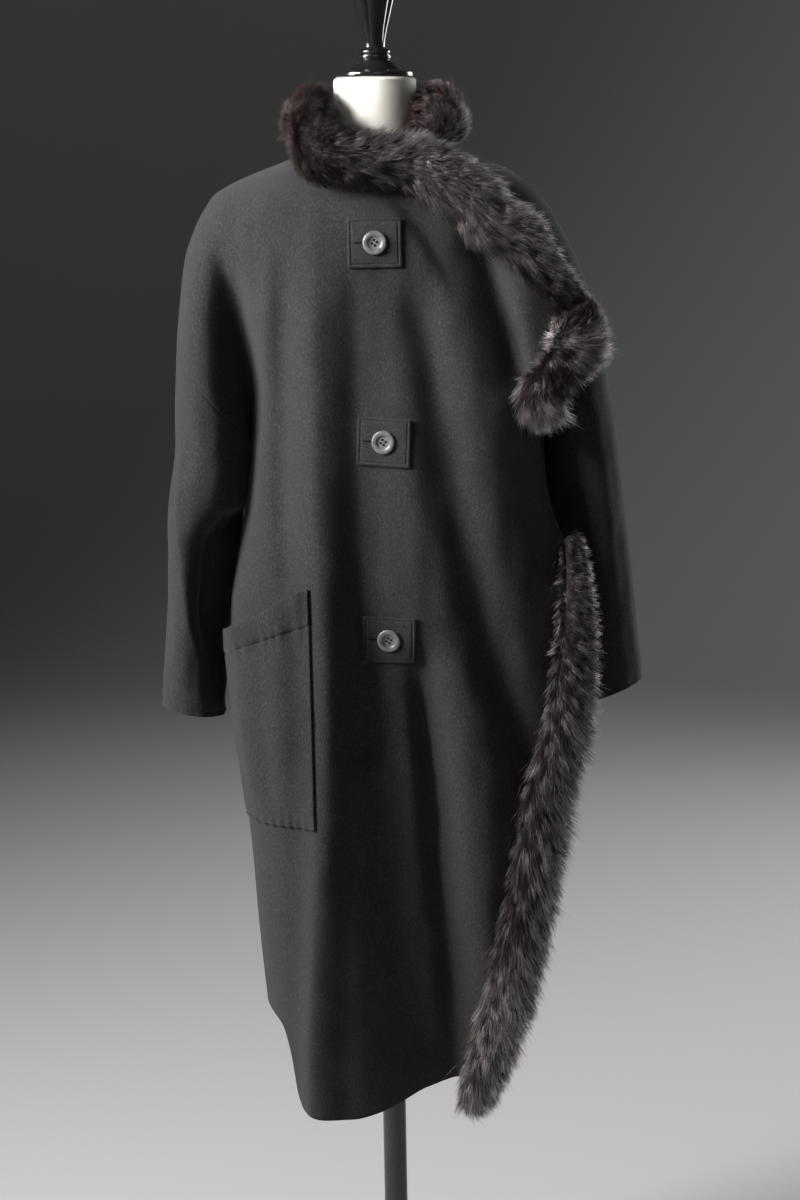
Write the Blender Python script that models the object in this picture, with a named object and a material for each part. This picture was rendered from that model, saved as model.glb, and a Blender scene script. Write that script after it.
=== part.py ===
"""A wool coat with a fur-trimmed front edge, hanging on a limbless dress form with its stand.

Metres, +Z up. The pole stands on the Z axis, the floor is z = 0, and the front of the coat faces -Y,
so the wearer's right is at -X. A cloth surface is given as a depth, forwards or backwards from the
plane y = 0 of the side seams, at each place (x, z). Heights are absolute.
"""

import math
from collections import namedtuple

import bmesh
import bpy
import numpy as np
from mathutils import Matrix, Vector
from mathutils.bvhtree import BVHTree

# ---------------------------------------------------------------- driving dimensions
WALL = 0.003  # napped wool
SEAM = 0.0003  # between two pieces that meet
ARMHOLE_SEAM = 0.0006  # down from a panel's slanting edge to the sleeve's
SIDE_RAMP = 0.25  # share of a row over which its columns crowd towards a side
PANEL_COLUMNS = 24
BACK_COLUMNS = 17
LEFT_COLUMNS = 9
ARM_STEPS = 8  # panel rows beside each half of an armhole, so twice this round a sleeve
ARMHOLE_TOP = 1.255
ARMPIT = 1.150
HEM_EASE_FROM = 0.62  # below this height the rows ease from level to the line of the hem
SHOULDER_LINE = 1.462
FUR_SIDES = 12
TURNED_SIDES = 20

NECK_RADIUS = 0.0486
NECK_TOP = 1.569
FORM_BOTTOM = 0.780
POLE_RADIUS = 0.0145
BASE_RADIUS = 0.190
BASE_THICK = 0.012
SOCKET_RADIUS = 0.024
SOCKET_TOP = 0.070
TAB_SIZE = 0.056
TAB_THICK = 0.004
BUTTON_RADIUS = 0.0138
BUTTON_THICK = 0.0036
HOLE_RADIUS = 0.0009
HOLE_PITCH = 0.0027

# The body at a height: left and right are its side seams and front and back its depths. The wide
# right front wraps past the side seam, so it is shaped as if its own right side lay at wrap. The
# left front lies inside it by inset.
Body = namedtuple("Body", "z left right wrap front back inset")
BODY = (
    Body(1.484, -0.085, 0.090, 0.090, 0.060, 0.058, 0.000),
    Body(1.476, -0.103, 0.112, 0.112, 0.074, 0.068, 0.000),
    Body(1.465, -0.133, 0.147, 0.147, 0.087, 0.078, 0.000),
    Body(1.453, -0.163, 0.168, 0.168, 0.097, 0.086, 0.000),
    Body(1.436, -0.193, 0.188, 0.190, 0.107, 0.094, 0.002),
    Body(1.418, -0.203, 0.200, 0.210, 0.115, 0.100, 0.009),
    Body(1.395, -0.200, 0.200, 0.235, 0.121, 0.106, 0.015),
    Body(1.360, -0.192, 0.200, 0.265, 0.128, 0.112, 0.020),
    Body(1.312, -0.181, 0.200, 0.290, 0.133, 0.118, 0.022),
    Body(1.255, -0.165, 0.198, 0.303, 0.137, 0.122, 0.022),
    Body(1.200, -0.155, 0.195, 0.310, 0.140, 0.126, 0.022),
    Body(1.150, -0.156, 0.195, 0.310, 0.142, 0.130, 0.022),
    Body(1.080, -0.1612, 0.195, 0.310, 0.146, 0.136, 0.022),
    Body(1.000, -0.175, 0.200, 0.310, 0.150, 0.142, 0.022),
    Body(0.950, -0.184, 0.205, 0.310, 0.152, 0.145, 0.022),
    Body(0.850, -0.188, 0.210, 0.305, 0.153, 0.147, 0.022),
    Body(0.750, -0.179, 0.204, 0.285, 0.151, 0.145, 0.022),
    Body(0.650, -0.170, 0.194, 0.262, 0.147, 0.140, 0.022),
    Body(0.550, -0.164, 0.180, 0.238, 0.142, 0.133, 0.022),
    Body(0.450, -0.156, 0.160, 0.216, 0.136, 0.124, 0.022),
    Body(0.330, -0.142, 0.135, 0.198, 0.128, 0.112, 0.022),
)
SQUARE = 2.3  # exponent of the body's sections, 2 for an ellipse

# An arm at a height: the middle and half-width of its section, how far it reaches each way, and the
# depth of the valley between it and the body, which runs out at the armpit.
Arm = namedtuple("Arm", "z middle half front back valley")
ARM_RIGHT = (
    Arm(1.484, -0.060, 0.010, 0.000, 0.000, 0.000),
    Arm(1.465, -0.105, 0.012, 0.000, 0.000, 0.000),
    Arm(1.450, -0.145, 0.016, 0.000, 0.000, 0.000),
    Arm(1.436, -0.166, 0.022, 0.012, 0.012, 0.010),
    Arm(1.418, -0.176, 0.030, 0.042, 0.040, 0.036),
    Arm(1.395, -0.184, 0.034, 0.052, 0.050, 0.048),
    Arm(1.360, -0.193, 0.037, 0.060, 0.058, 0.052),
    Arm(1.312, -0.198, 0.039, 0.065, 0.064, 0.050),
    Arm(1.255, -0.2025, 0.0405, 0.068, 0.068, 0.042),
    Arm(1.200, -0.2030, 0.0435, 0.069, 0.070, 0.027),
    Arm(1.150, -0.2023, 0.0456, 0.068, 0.072, 0.000),
    Arm(1.070, -0.2140, 0.0450, 0.062, 0.078, 0.000),
    Arm(1.000, -0.2220, 0.0410, 0.056, 0.080, 0.000),
    Arm(0.950, -0.2275, 0.0375, 0.052, 0.080, 0.000),
    Arm(0.900, -0.2325, 0.0360, 0.048, 0.080, 0.000),
    Arm(0.850, -0.2360, 0.0370, 0.046, 0.080, 0.000),
    Arm(0.810, -0.2370, 0.0390, 0.045, 0.080, 0.000),
)
ARM_LEFT = (
    Arm(1.484, 0.060, 0.010, 0.000, 0.000, 0.000),
    Arm(1.465, 0.115, 0.012, 0.000, 0.000, 0.000),
    Arm(1.450, 0.145, 0.016, 0.000, 0.000, 0.000),
    Arm(1.436, 0.162, 0.022, 0.012, 0.012, 0.010),
    Arm(1.418, 0.173, 0.030, 0.042, 0.040, 0.036),
    Arm(1.395, 0.182, 0.034, 0.050, 0.050, 0.048),
    Arm(1.360, 0.197, 0.037, 0.056, 0.058, 0.052),
    Arm(1.312, 0.212, 0.040, 0.060, 0.064, 0.050),
    Arm(1.255, 0.2235, 0.0415, 0.062, 0.068, 0.042),
    Arm(1.200, 0.2300, 0.0440, 0.062, 0.070, 0.027),
    Arm(1.150, 0.2388, 0.0432, 0.061, 0.072, 0.000),
    Arm(1.080, 0.2450, 0.0450, 0.058, 0.074, 0.000),
    Arm(1.000, 0.2530, 0.0460, 0.056, 0.076, 0.000),
    Arm(0.950, 0.2580, 0.0460, 0.054, 0.076, 0.000),
    Arm(0.900, 0.2625, 0.0455, 0.052, 0.076, 0.000),
    Arm(0.850, 0.2665, 0.0465, 0.050, 0.076, 0.000),
    Arm(0.810, 0.2660, 0.0450, 0.049, 0.076, 0.000),
)
ARM_BLEND = 6.0  # how sharply an arm meets the body

# The front edge of each front and its neckline above it: x at a height.
Edge = namedtuple("Edge", "z x")
RIGHT_FRONT_EDGE = (
    Edge(1.484, -0.072),
    Edge(1.476, -0.069),
    Edge(1.465, -0.062),
    Edge(1.453, -0.045),
    Edge(1.436, 0.000),
    Edge(1.418, 0.060),
    Edge(1.395, 0.115),
    Edge(1.360, 0.175),
    Edge(1.312, 0.225),
    Edge(1.255, 0.232),
    Edge(1.200, 0.205),
    Edge(1.150, 0.185),
    Edge(1.080, 0.196),
    Edge(1.000, 0.220),
    Edge(0.950, 0.222),
    Edge(0.850, 0.212),
    Edge(0.750, 0.190),
    Edge(0.650, 0.172),
    Edge(0.550, 0.150),
    Edge(0.450, 0.132),
    Edge(0.330, 0.110),
)
LEFT_FRONT_EDGE = (
    Edge(1.484, 0.074),
    Edge(1.476, 0.071),
    Edge(1.465, 0.066),
    Edge(1.453, 0.058),
    Edge(1.436, 0.050),
    Edge(1.418, 0.046),
    Edge(1.360, 0.030),
    Edge(1.255, 0.020),
    Edge(0.330, 0.020),
)

# The hem: its height by x, at the front and at the back.
Hem = namedtuple("Hem", "x z")
FRONT_HEM = (
    Hem(-0.150, 0.440),
    Hem(-0.132, 0.420),
    Hem(-0.118, 0.375),
    Hem(-0.104, 0.340),
    Hem(-0.085, 0.327),
    Hem(-0.050, 0.323),
    Hem(-0.010, 0.330),
    Hem(0.040, 0.350),
    Hem(0.085, 0.361),
    Hem(0.140, 0.352),
)
BACK_HEM = (Hem(-0.150, 0.440), Hem(-0.100, 0.405), Hem(0.000, 0.385), Hem(0.100, 0.385), Hem(0.140, 0.400))
LEFT_HEM = (Hem(0.020, 0.380), Hem(0.100, 0.385), Hem(0.140, 0.400))

# The largest folds of the wide front: a ridge stands out, a trough has a negative depth. route is x
# at a height, wide is its reach to each side, and it fades out over FADE beyond its ends.
Fold = namedtuple("Fold", "name route depth left_wide right_wide")
FADE = 0.08
FOLDS = (
    Fold("pocket side ridge", ((1.33, -0.088), (1.11, -0.092), (0.99, -0.090)), 0.007, 0.020, 0.020),
    Fold("hem fold", ((0.95, -0.070), (0.68, -0.078), (0.53, -0.084), (0.33, -0.090)), 0.022, 0.020, 0.036),
    Fold("left trough", ((1.28, -0.038), (1.11, -0.036), (0.85, -0.040), (0.63, -0.028), (0.33, 0.000)),
         -0.012, 0.020, 0.026),
    Fold("button ridge", ((1.20, 0.004), (0.90, 0.002), (0.63, 0.018), (0.45, 0.036)), 0.006, 0.025, 0.025),
    Fold("slanting trough", ((1.38, 0.024), (1.21, 0.053), (1.10, 0.067), (0.98, 0.094), (0.75, 0.154)),
         -0.010, 0.020, 0.020),
    Fold("chest ridge", ((1.28, 0.092), (1.10, 0.115), (1.00, 0.138), (0.85, 0.162)), 0.008, 0.026, 0.026),
    Fold("lower trough", ((0.85, 0.044), (0.75, 0.057), (0.63, 0.072), (0.48, 0.082), (0.33, 0.090)),
         -0.012, 0.020, 0.018),
    Fold("flap trough", ((1.36, 0.131), (1.27, 0.153), (1.21, 0.162)), -0.018, 0.020, 0.014),
    Fold("edge roll", ((1.15, 0.186), (1.08, 0.198), (1.02, 0.212)), -0.024, 0.030, 0.030),
)

# The pocket: its sides by height, and how far its mouth stands off the front.
POCKET_LEFT_IN = 0.004  # from the side seam
POCKET_RIGHT = -0.086
POCKET_BOTTOM = 0.702
POCKET_TOP_LEFT = 0.930
POCKET_TOP_RIGHT = 0.985
POCKET_STAND = 0.013
POCKET_WALL = 0.0025
POCKET_CLEAR = 0.0014  # between the faceted front and the pocket's sewn edges

# A button tab: its middle, how many degrees it leans, and its clearance from the faceted front.
# Its right and lower sides stand off by TAB_LIFT more.
Tab = namedtuple("Tab", "x z lean clear")
TABS = (Tab(-0.003, 1.381, 0.0, 0.0023), Tab(0.003, 1.153, 3.0, 0.0010), Tab(0.005, 0.921, 1.5, 0.0010))
TAB_LIFT = 0.0025

# A stretch of fur on the front: its middle line, whole width and how far it stands off. The turned
# stretch goes on from the upper one's last row.
FUR_BENDS = 4  # rings with which the collar's end turns into the front fur
BEND_CLEAR = 0.011  # between those rings and the front
FRONT_FUR_CLEAR = 0.0063  # between the front and the back of the fur on it, at a row of points
EDGE_FUR_CLEAR = 0.003  # the same for the narrower fur down the edge
Fur = namedtuple("Fur", "x z width thick")
FUR_UPPER = (
    Fur(-0.056, 1.487, 0.080, 0.046),
    Fur(-0.030, 1.482, 0.082, 0.046),
    Fur(0.000, 1.478, 0.078, 0.044),
    Fur(0.035, 1.466, 0.086, 0.044),
    Fur(0.075, 1.448, 0.092, 0.044),
    Fur(0.112, 1.424, 0.094, 0.042),
    Fur(0.148, 1.395, 0.092, 0.040),
    Fur(0.182, 1.366, 0.084, 0.036),
    Fur(0.214, 1.333, 0.064, 0.034),
    Fur(0.235, 1.304, 0.050, 0.030),
)
FUR_TURNED = (
    Fur(0.245, 1.270, 0.054, 0.030),
    Fur(0.232, 1.240, 0.064, 0.032),
    Fur(0.208, 1.216, 0.062, 0.032),
    Fur(0.186, 1.196, 0.060, 0.032),
    Fur(0.176, 1.170, 0.036, 0.026),
)
FUR_LOWER = (
    Fur(0.221, 1.042, 0.024, 0.016),
    Fur(0.229, 1.010, 0.036, 0.024),
    Fur(0.227, 0.960, 0.050, 0.030),
    Fur(0.226, 0.910, 0.058, 0.034),
    Fur(0.221, 0.860, 0.066, 0.036),
    Fur(0.215, 0.800, 0.070, 0.038),
    Fur(0.197, 0.745, 0.072, 0.038),
    Fur(0.186, 0.690, 0.072, 0.038),
    Fur(0.171, 0.610, 0.072, 0.038),
    Fur(0.156, 0.545, 0.074, 0.038),
    Fur(0.145, 0.490, 0.073, 0.038),
    Fur(0.132, 0.420, 0.068, 0.036),
    Fur(0.120, 0.360, 0.058, 0.032),
    Fur(0.114, 0.330, 0.036, 0.020),
)
# The fur collar: a ring round the neck, from one end under the front fur to the other.
COLLAR_START = -35.0  # degrees round from +X, the end under the front fur
COLLAR_END = 200.0  # where the front fur takes over
COLLAR_TURNS = 16
COLLAR_RADIUS_X = 0.0815
COLLAR_RADIUS_Y = 0.0790
COLLAR_HALF_THICK = 0.0255
COLLAR_BOTTOM = 1.4846
COLLAR_TOP = 1.562

# The form at a height, below the shoulders that it shares with the coat.
Torso = namedtuple("Torso", "z half front back")
TORSO = (
    Torso(1.400, 0.172, 0.084, 0.082),
    Torso(1.350, 0.150, 0.096, 0.088),
    Torso(1.250, 0.134, 0.104, 0.086),
    Torso(1.150, 0.120, 0.096, 0.080),
    Torso(1.050, 0.112, 0.088, 0.082),
    Torso(0.950, 0.134, 0.098, 0.100),
    Torso(0.850, 0.150, 0.104, 0.112),
    Torso(FORM_BOTTOM, 0.148, 0.100, 0.108),
)
TORSO_SHOULDERS = (1.4825, 1.476, 1.465, 1.453, 1.440)  # heights where it follows the coat
TORSO_TOP = 1.4790
TORSO_SIDES = 28
SEAT = 0.0021  # between the form's shoulders and the coat on them

# The finial's turned outline: radius and height above the neck block.
FINIAL = (
    (0.0455, 0.0000),
    (0.0462, 0.0040),
    (0.0440, 0.0075),
    (0.0290, 0.0090),
    (0.0255, 0.0130),
    (0.0180, 0.0190),
    (0.0165, 0.0215),
    (0.0190, 0.0250),
    (0.0185, 0.0310),
    (0.0135, 0.0345),
    (0.0140, 0.0430),
    (0.0200, 0.0680),
    (0.0260, 0.0900),
    (0.0295, 0.1120),
    (0.0285, 0.1330),
    (0.0190, 0.1480),
    (0.0000, 0.1530),
)


# ---------------------------------------------------------------- reading the tables
def smooth_through(places, values, at):
    """Values at the places asked for, on a curve through the rows that never overshoots them."""
    places = np.asarray(places, float)
    values = np.asarray(values, float)
    order = np.argsort(places)
    places, values = places[order], values[order]
    steps = np.diff(places)
    slopes = np.diff(values) / steps
    tangents = np.zeros_like(values)
    both = slopes[:-1] * slopes[1:] > 0
    mean = 2.0 / (1.0 / np.where(both, slopes[:-1], 1.0) + 1.0 / np.where(both, slopes[1:], 1.0))
    tangents[1:-1] = np.where(both, mean, 0.0)
    tangents[0], tangents[-1] = slopes[0], slopes[-1]
    at = np.clip(np.asarray(at, float), places[0], places[-1])
    k = np.clip(np.searchsorted(places, at) - 1, 0, len(steps) - 1)
    s = (at - places[k]) / steps[k]
    near = values[k] * (1 + 2 * s) * (1 - s) ** 2 + values[k + 1] * s * s * (3 - 2 * s)
    return near + steps[k] * (tangents[k] * s * (1 - s) ** 2 - tangents[k + 1] * s * s * (1 - s))


def read(table, column, at):
    """A named column of a table at heights (or, for a hem, at x)."""
    key = table[0]._fields[0]
    return smooth_through([getattr(row, key) for row in table], [getattr(row, column) for row in table], at)


def soft_step(value):
    value = np.clip(value, 0.0, 1.0)
    return value * value * (3 - 2 * value)


# ---------------------------------------------------------------- depths of the cloth
def rounded_depth(x, low, high, depth, square):
    """The depth at x of a section between two sides."""
    off = np.clip(np.abs(2 * x - low - high) / (high - low), 0.0, 1.0)
    return depth * (1 - off**square) ** (1 / square)


def joined(*depths):
    """The outer of several depths, with soft valleys between them."""
    return sum(depth**ARM_BLEND for depth in depths) ** (1 / ARM_BLEND)


def arm_depth(x, z, arm, column):
    """The depth of an arm and of the cloth that spans from it to the body."""
    middle, half = read(arm, "middle", z), read(arm, "half", z)
    inner = middle - math.copysign(1.0, arm[0].middle) * half
    depth = joined(
        rounded_depth(x, middle - half, middle + half, read(arm, column, z), 2.0),
        rounded_depth(x, inner - half, inner + half, read(arm, "valley", z), 2.0),
    )
    return np.where(z > ARMPIT + 1e-6, depth, 0.0)


def fold_depth(x, z):
    """What the folds add to the wide front."""
    total = 0.0
    for fold in FOLDS:
        heights = [point[0] for point in fold.route]
        off = x - smooth_through(heights, [point[1] for point in fold.route], z)
        wide = np.where(off < 0, fold.left_wide, fold.right_wide)
        reach = np.maximum(np.maximum(z - max(heights), min(heights) - z), 0.0)
        total = total + fold.depth * np.exp(-((off / wide) ** 2)) * (1 - soft_step(reach / FADE))
    return total


def wide_front(x, z):
    """The wearer's right front, which wraps across."""
    left, wrap, depth = (read(BODY, name, z) for name in ("left", "wrap", "front"))
    plain = joined(rounded_depth(x, left, wrap, depth, SQUARE), arm_depth(x, z, ARM_RIGHT, "front"))
    return plain + fold_depth(x, z) * soft_step(plain / 0.06)


def under_front(x, z):
    """The wearer's left front, inside the other."""
    left, right = read(BODY, "left", z), read(BODY, "right", z)
    depth = read(BODY, "front", z) - read(BODY, "inset", z)
    return joined(rounded_depth(x, left, right, depth, SQUARE), arm_depth(x, z, ARM_LEFT, "front"))


def back_depth(x, z):
    left, right, depth = (read(BODY, name, z) for name in ("left", "right", "back"))
    return joined(
        rounded_depth(x, left, right, depth, SQUARE),
        arm_depth(x, z, ARM_RIGHT, "back"),
        arm_depth(x, z, ARM_LEFT, "back"),
    )


# ---------------------------------------------------------------- where the panels end
def outline(z, arm, body_side, turn):
    """x of the coat's silhouette: the arm's outer side above the armpit, the side seam below it."""
    arm_side = read(arm, "middle", z) + turn * read(arm, "half", z)
    body = read(BODY, body_side, z)
    with_arm = np.where(turn * arm_side > turn * body, arm_side, body)
    return np.where(z > ARMPIT + 1e-6, with_arm, body)


def armhole_angle(z):
    """How far round the arm, from its outer side, the armhole seam has come at a height."""
    return np.arccos(np.clip(1 - 2 * (ARMHOLE_TOP - z) / (ARMHOLE_TOP - ARMPIT), -1.0, 1.0))


def panel_side(z, arm, body_side, turn):
    """x where a front or the back ends at the side: silhouette, armhole seam, then side seam."""
    seam = read(arm, "middle", z) + turn * read(arm, "half", z) * np.cos(armhole_angle(z))
    beside_armhole = (z < ARMHOLE_TOP) & (z > ARMPIT + 1e-6)
    return np.where(beside_armhole, seam, outline(z, arm, body_side, turn))


def panel_heights():
    """The rows that all panels share: from the tables above and below, and evenly round the armholes."""
    above = [row.z for row in BODY if row.z > ARMHOLE_TOP + 0.01]
    round_arm = [ARMHOLE_TOP - (ARMHOLE_TOP - ARMPIT) * (1 - math.cos(math.pi * k / ARM_STEPS)) / 2
                 for k in range(ARM_STEPS + 1)]
    below = [1.115, 1.060, 1.000, 0.940, 0.880, 0.820, 0.750, 0.680, 0.610, 0.540, 0.470, 0.410, 0.365, 0.330]
    return np.array(above + round_arm + below)


def hem_eased(level, x, hem):
    """A row's height at x: level above, following the hem below."""
    lowest = BODY[-1].z
    share = np.clip((HEM_EASE_FROM - level) / (HEM_EASE_FROM - lowest), 0.0, 1.0)
    return np.where(share > 0, HEM_EASE_FROM - share * (HEM_EASE_FROM - read(hem, "z", x)), level)


def crowded(count, both_sides):
    """Shares of a row for its columns, crowded towards the side or sides where the cloth turns."""
    t = np.linspace(0.0, 1.0, count)
    if both_sides:
        half = crowded_share(2 * np.minimum(t, 1 - t)) / 2
        return np.where(t <= 0.5, half, 1 - half)
    return crowded_share(t)


def crowded_share(t):
    start = t * t / (2 * SIDE_RAMP)
    return np.where(t < SIDE_RAMP, start, t - SIDE_RAMP / 2) / (1 - SIDE_RAMP / 2)


# ---------------------------------------------------------------- points and outward directions
def surface(depth, facing, x, z, side, turn):
    """Points on a depth surface and their outward directions.

    side(z) is the silhouette that the surface turns away at. Slopes are taken just inside it and just
    inside the first and last heights, because the surface stands on edge at the one and ends at the others.
    """
    step = 1e-4
    near = turn * np.minimum(turn * x, turn * side(z) - 3 * step)
    level = np.clip(z, BODY[-1].z + step, BODY[0].z - step)
    slope_x = (depth(near + step, level) - depth(near - step, level)) / (2 * step)
    slope_z = (depth(near, level + step) - depth(near, level - step)) / (2 * step)
    reach = depth(x, z)
    outward = np.stack([-slope_x, np.where(reach > step, facing, 0.0), -slope_z], axis=-1)
    outward /= np.linalg.norm(outward, axis=-1, keepdims=True)
    return np.stack([x, facing * reach, z], axis=-1), outward


def silhouette(arm, body_side, turn):
    def side(z):
        return outline(z, arm, body_side, turn)

    return side


RIGHT_SIDE = silhouette(ARM_RIGHT, "left", -1)
LEFT_SIDE = silhouette(ARM_LEFT, "right", 1)


def front_surface(x, z):
    return surface(wide_front, -1, x, z, RIGHT_SIDE, -1)


def faceted_depth(panel_tree, x, z, beyond):
    """How far forward the faceted panel itself lies at each (x, z), or beyond(x, z) past its edge."""
    depths = np.array(beyond(x, z), float)
    for index in np.ndindex(depths.shape):
        hit = panel_tree.ray_cast(Vector((x[index], -1.0, z[index])), Vector((0.0, 1.0, 0.0)))[0]
        if hit is not None and -hit.y > 0.02:
            depths[index] = max(depths[index], -hit.y)
    return depths


# ---------------------------------------------------------------- making solids
def material(name, colour, roughness, metallic=0.0):
    made = bpy.data.materials.new(name)
    made.use_nodes = True
    shader = made.node_tree.nodes["Principled BSDF"]
    shader.inputs["Base Color"].default_value = (*colour, 1.0)
    shader.inputs["Roughness"].default_value = roughness
    shader.inputs["Metallic"].default_value = metallic
    return made


def add_object(name, bm, finish):
    bmesh.ops.recalc_face_normals(bm, faces=bm.faces[:])
    mesh = bpy.data.meshes.new(name)
    bm.to_mesh(mesh)
    bm.free()
    mesh.materials.append(finish)
    mesh.shade_smooth()
    mesh.set_sharp_from_angle(angle=math.radians(40))
    made = bpy.data.objects.new(name, mesh)
    bpy.context.scene.collection.objects.link(made)
    return made


def cloth_wall(name, outer, inner, finish):
    """A closed wall between two grids of points, rows by columns."""
    rows, columns = outer.shape[:2]
    bm = bmesh.new()
    bmesh.ops.create_grid(bm, x_segments=columns - 1, y_segments=rows - 1, size=1.0)
    number = bm.verts.layers.int.new("number")
    for k, (vert, point) in enumerate(zip(bm.verts, outer.reshape(-1, 3))):
        vert.co = point
        vert[number] = k
    extruded = bmesh.ops.extrude_face_region(bm, geom=bm.faces[:], use_keep_orig=True)
    inside = inner.reshape(-1, 3)
    for item in extruded["geom"]:
        if isinstance(item, bmesh.types.BMVert):
            item.co = inside[item[number]]
    return add_object(name, bm, finish)


def loft(name, rings, finish, closed_ends=True):
    """A closed solid through rings of the same number of points."""
    bm = bmesh.new()
    made = [[bm.verts.new(point) for point in ring] for ring in rings]
    loops = [[bm.edges.new((ring[k], ring[(k + 1) % len(ring)])) for k in range(len(ring))] for ring in made]
    for low, high in zip(loops, loops[1:]):
        bmesh.ops.bridge_loops(bm, edges=low + high)
    if closed_ends:
        bm.faces.new(made[0])
        bm.faces.new(made[-1])
    else:
        bmesh.ops.bridge_loops(bm, edges=loops[0] + loops[-1])
    return add_object(name, bm, finish)


def turned(name, outline_points, finish, sides=TURNED_SIDES):
    """A solid turned round the Z axis. The outline starts and ends on the axis."""
    bm = bmesh.new()
    verts = [bm.verts.new((radius, 0.0, z)) for radius, z in outline_points]
    edges = [bm.edges.new(pair) for pair in zip(verts, verts[1:])]
    bmesh.ops.spin(bm, geom=verts + edges, axis=(0, 0, 1), cent=(0, 0, 0), steps=sides,
                   angle=2 * math.pi, use_merge=True)
    bmesh.ops.remove_doubles(bm, verts=bm.verts[:], dist=1e-6)
    return add_object(name, bm, finish)


# ---------------------------------------------------------------- the cloth
def panel_points(depth, facing, start, end, hem, side, turn, shares):
    """A panel's outer points, its outward directions and its heights, from rows of start to end."""
    levels = panel_heights()[:, None]
    x = start(levels) + (end(levels) - start(levels)) * shares[None, :]
    z = hem_eased(levels, x, hem)
    x = start(z) + (end(z) - start(z)) * shares[None, :]
    points, outward = surface(depth, facing, x, z, side, turn)
    armpit = int(np.argmin(np.abs(levels - ARMPIT)))
    outward[armpit, 0] = (0.0, 0.0, -1.0)  # the cloth passes over from the arm to the body there
    return points, outward


def make_wide_front(wool):
    shares = crowded(PANEL_COLUMNS, both_sides=False)
    points, outward = panel_points(
        wide_front, -1,
        lambda z: panel_side(z, ARM_RIGHT, "left", -1),
        lambda z: read(RIGHT_FRONT_EDGE, "x", z),
        FRONT_HEM, RIGHT_SIDE, -1, shares,
    )
    points[:, 0, 1] -= SEAM / 2
    return cloth_wall("front_right", points, points - outward * WALL, wool)


def make_under_front(wool):
    shares = crowded(LEFT_COLUMNS, both_sides=False)
    points, outward = panel_points(
        under_front, -1,
        lambda z: panel_side(z, ARM_LEFT, "right", 1),
        lambda z: read(LEFT_FRONT_EDGE, "x", z),
        LEFT_HEM, LEFT_SIDE, 1, shares,
    )
    points[:, 0, 1] -= SEAM / 2
    return cloth_wall("front_left", points, points - outward * WALL, wool)


def make_back(wool):
    """The back, worked as two halves that share their middle column."""
    shares = crowded((BACK_COLUMNS + 1) // 2, both_sides=False)

    def middle(z):
        return (read(BODY, "left", z) + read(BODY, "right", z)) / 2

    halves = []
    sides = ((ARM_RIGHT, "left", RIGHT_SIDE, -1), (ARM_LEFT, "right", LEFT_SIDE, 1))
    for arm, body_side, side, turn in sides:
        halves.append(panel_points(
            back_depth, 1, lambda z: panel_side(z, arm, body_side, turn), middle, BACK_HEM, side, turn, shares
        ))
    points = np.concatenate([halves[0][0], halves[1][0][:, -2::-1]], axis=1)
    outward = np.concatenate([halves[0][1], halves[1][1][:, -2::-1]], axis=1)
    points[:, 0, 1] += SEAM / 2
    points[:, -1, 1] += SEAM / 2
    return cloth_wall("back", points, points - outward * WALL, wool)


def sleeve_section(z, angle, arm, turn):
    """A sleeve's point at a height, and an angle from its outer side round by the front."""
    reach = np.where(np.sin(angle) >= 0, read(arm, "front", z), read(arm, "back", z))
    x = read(arm, "middle", z) + turn * read(arm, "half", z) * np.cos(angle)
    return np.stack([x, -reach * np.sin(angle), z], axis=-1)


def make_sleeve(name, arm, turn, cuff_outer, cuff_inner, wool):
    angles = np.linspace(0.0, 2 * math.pi, 2 * ARM_STEPS, endpoint=False)
    top = ARMHOLE_TOP - (ARMHOLE_TOP - ARMPIT) * (1 - np.cos(angles)) / 2 - ARMHOLE_SEAM
    cuff = cuff_inner + (cuff_outer - cuff_inner) * (1 + np.cos(angles)) / 2
    shares = [0.0, 0.08, 0.18, 0.30, 0.42, 0.54, 0.66, 0.78, 0.90, 1.0]
    outer_rings, inner_rings = [], []
    for share in shares:
        z = top + (cuff - top) * share
        points = sleeve_section(z, angles, arm, turn)
        step = 1e-4
        around = sleeve_section(z, angles + step, arm, turn) - sleeve_section(z, angles - step, arm, turn)
        down = sleeve_section(z - step, angles, arm, turn) - sleeve_section(z + step, angles, arm, turn)
        outward = np.cross(around, down)
        outward /= np.linalg.norm(outward, axis=-1, keepdims=True)
        middle = np.stack([read(arm, "middle", z), np.zeros_like(z), z], axis=-1)
        outward *= np.where(((points - middle) * outward).sum(-1, keepdims=True) < 0, -1.0, 1.0)
        outer_rings.append(points)
        inner_rings.append(points - outward * WALL)
    return loft(name, outer_rings + inner_rings[::-1], wool, closed_ends=False)


def make_pocket(wool):
    columns, rows = 9, 8
    across = crowded(columns, both_sides=False)
    u, v = np.meshgrid(across, np.linspace(0.0, 1.0, rows))
    top = POCKET_TOP_LEFT + (POCKET_TOP_RIGHT - POCKET_TOP_LEFT) * u
    z = POCKET_BOTTOM + (top - POCKET_BOTTOM) * v
    left = RIGHT_SIDE(z) + POCKET_LEFT_IN
    x = left + (POCKET_RIGHT - left) * u
    points, outward = front_surface(x, z)
    sewn = soft_step(np.minimum(u, 1 - u) / 0.22) * soft_step(v / 0.5)
    corner = soft_step((v - 0.55) / 0.45) * 0.55
    lift = POCKET_CLEAR + POCKET_STAND * np.maximum(sewn, corner * soft_step(v))
    inner = points + outward * lift[..., None]
    return cloth_wall("pocket", inner + outward * POCKET_WALL, inner, wool)


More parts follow.
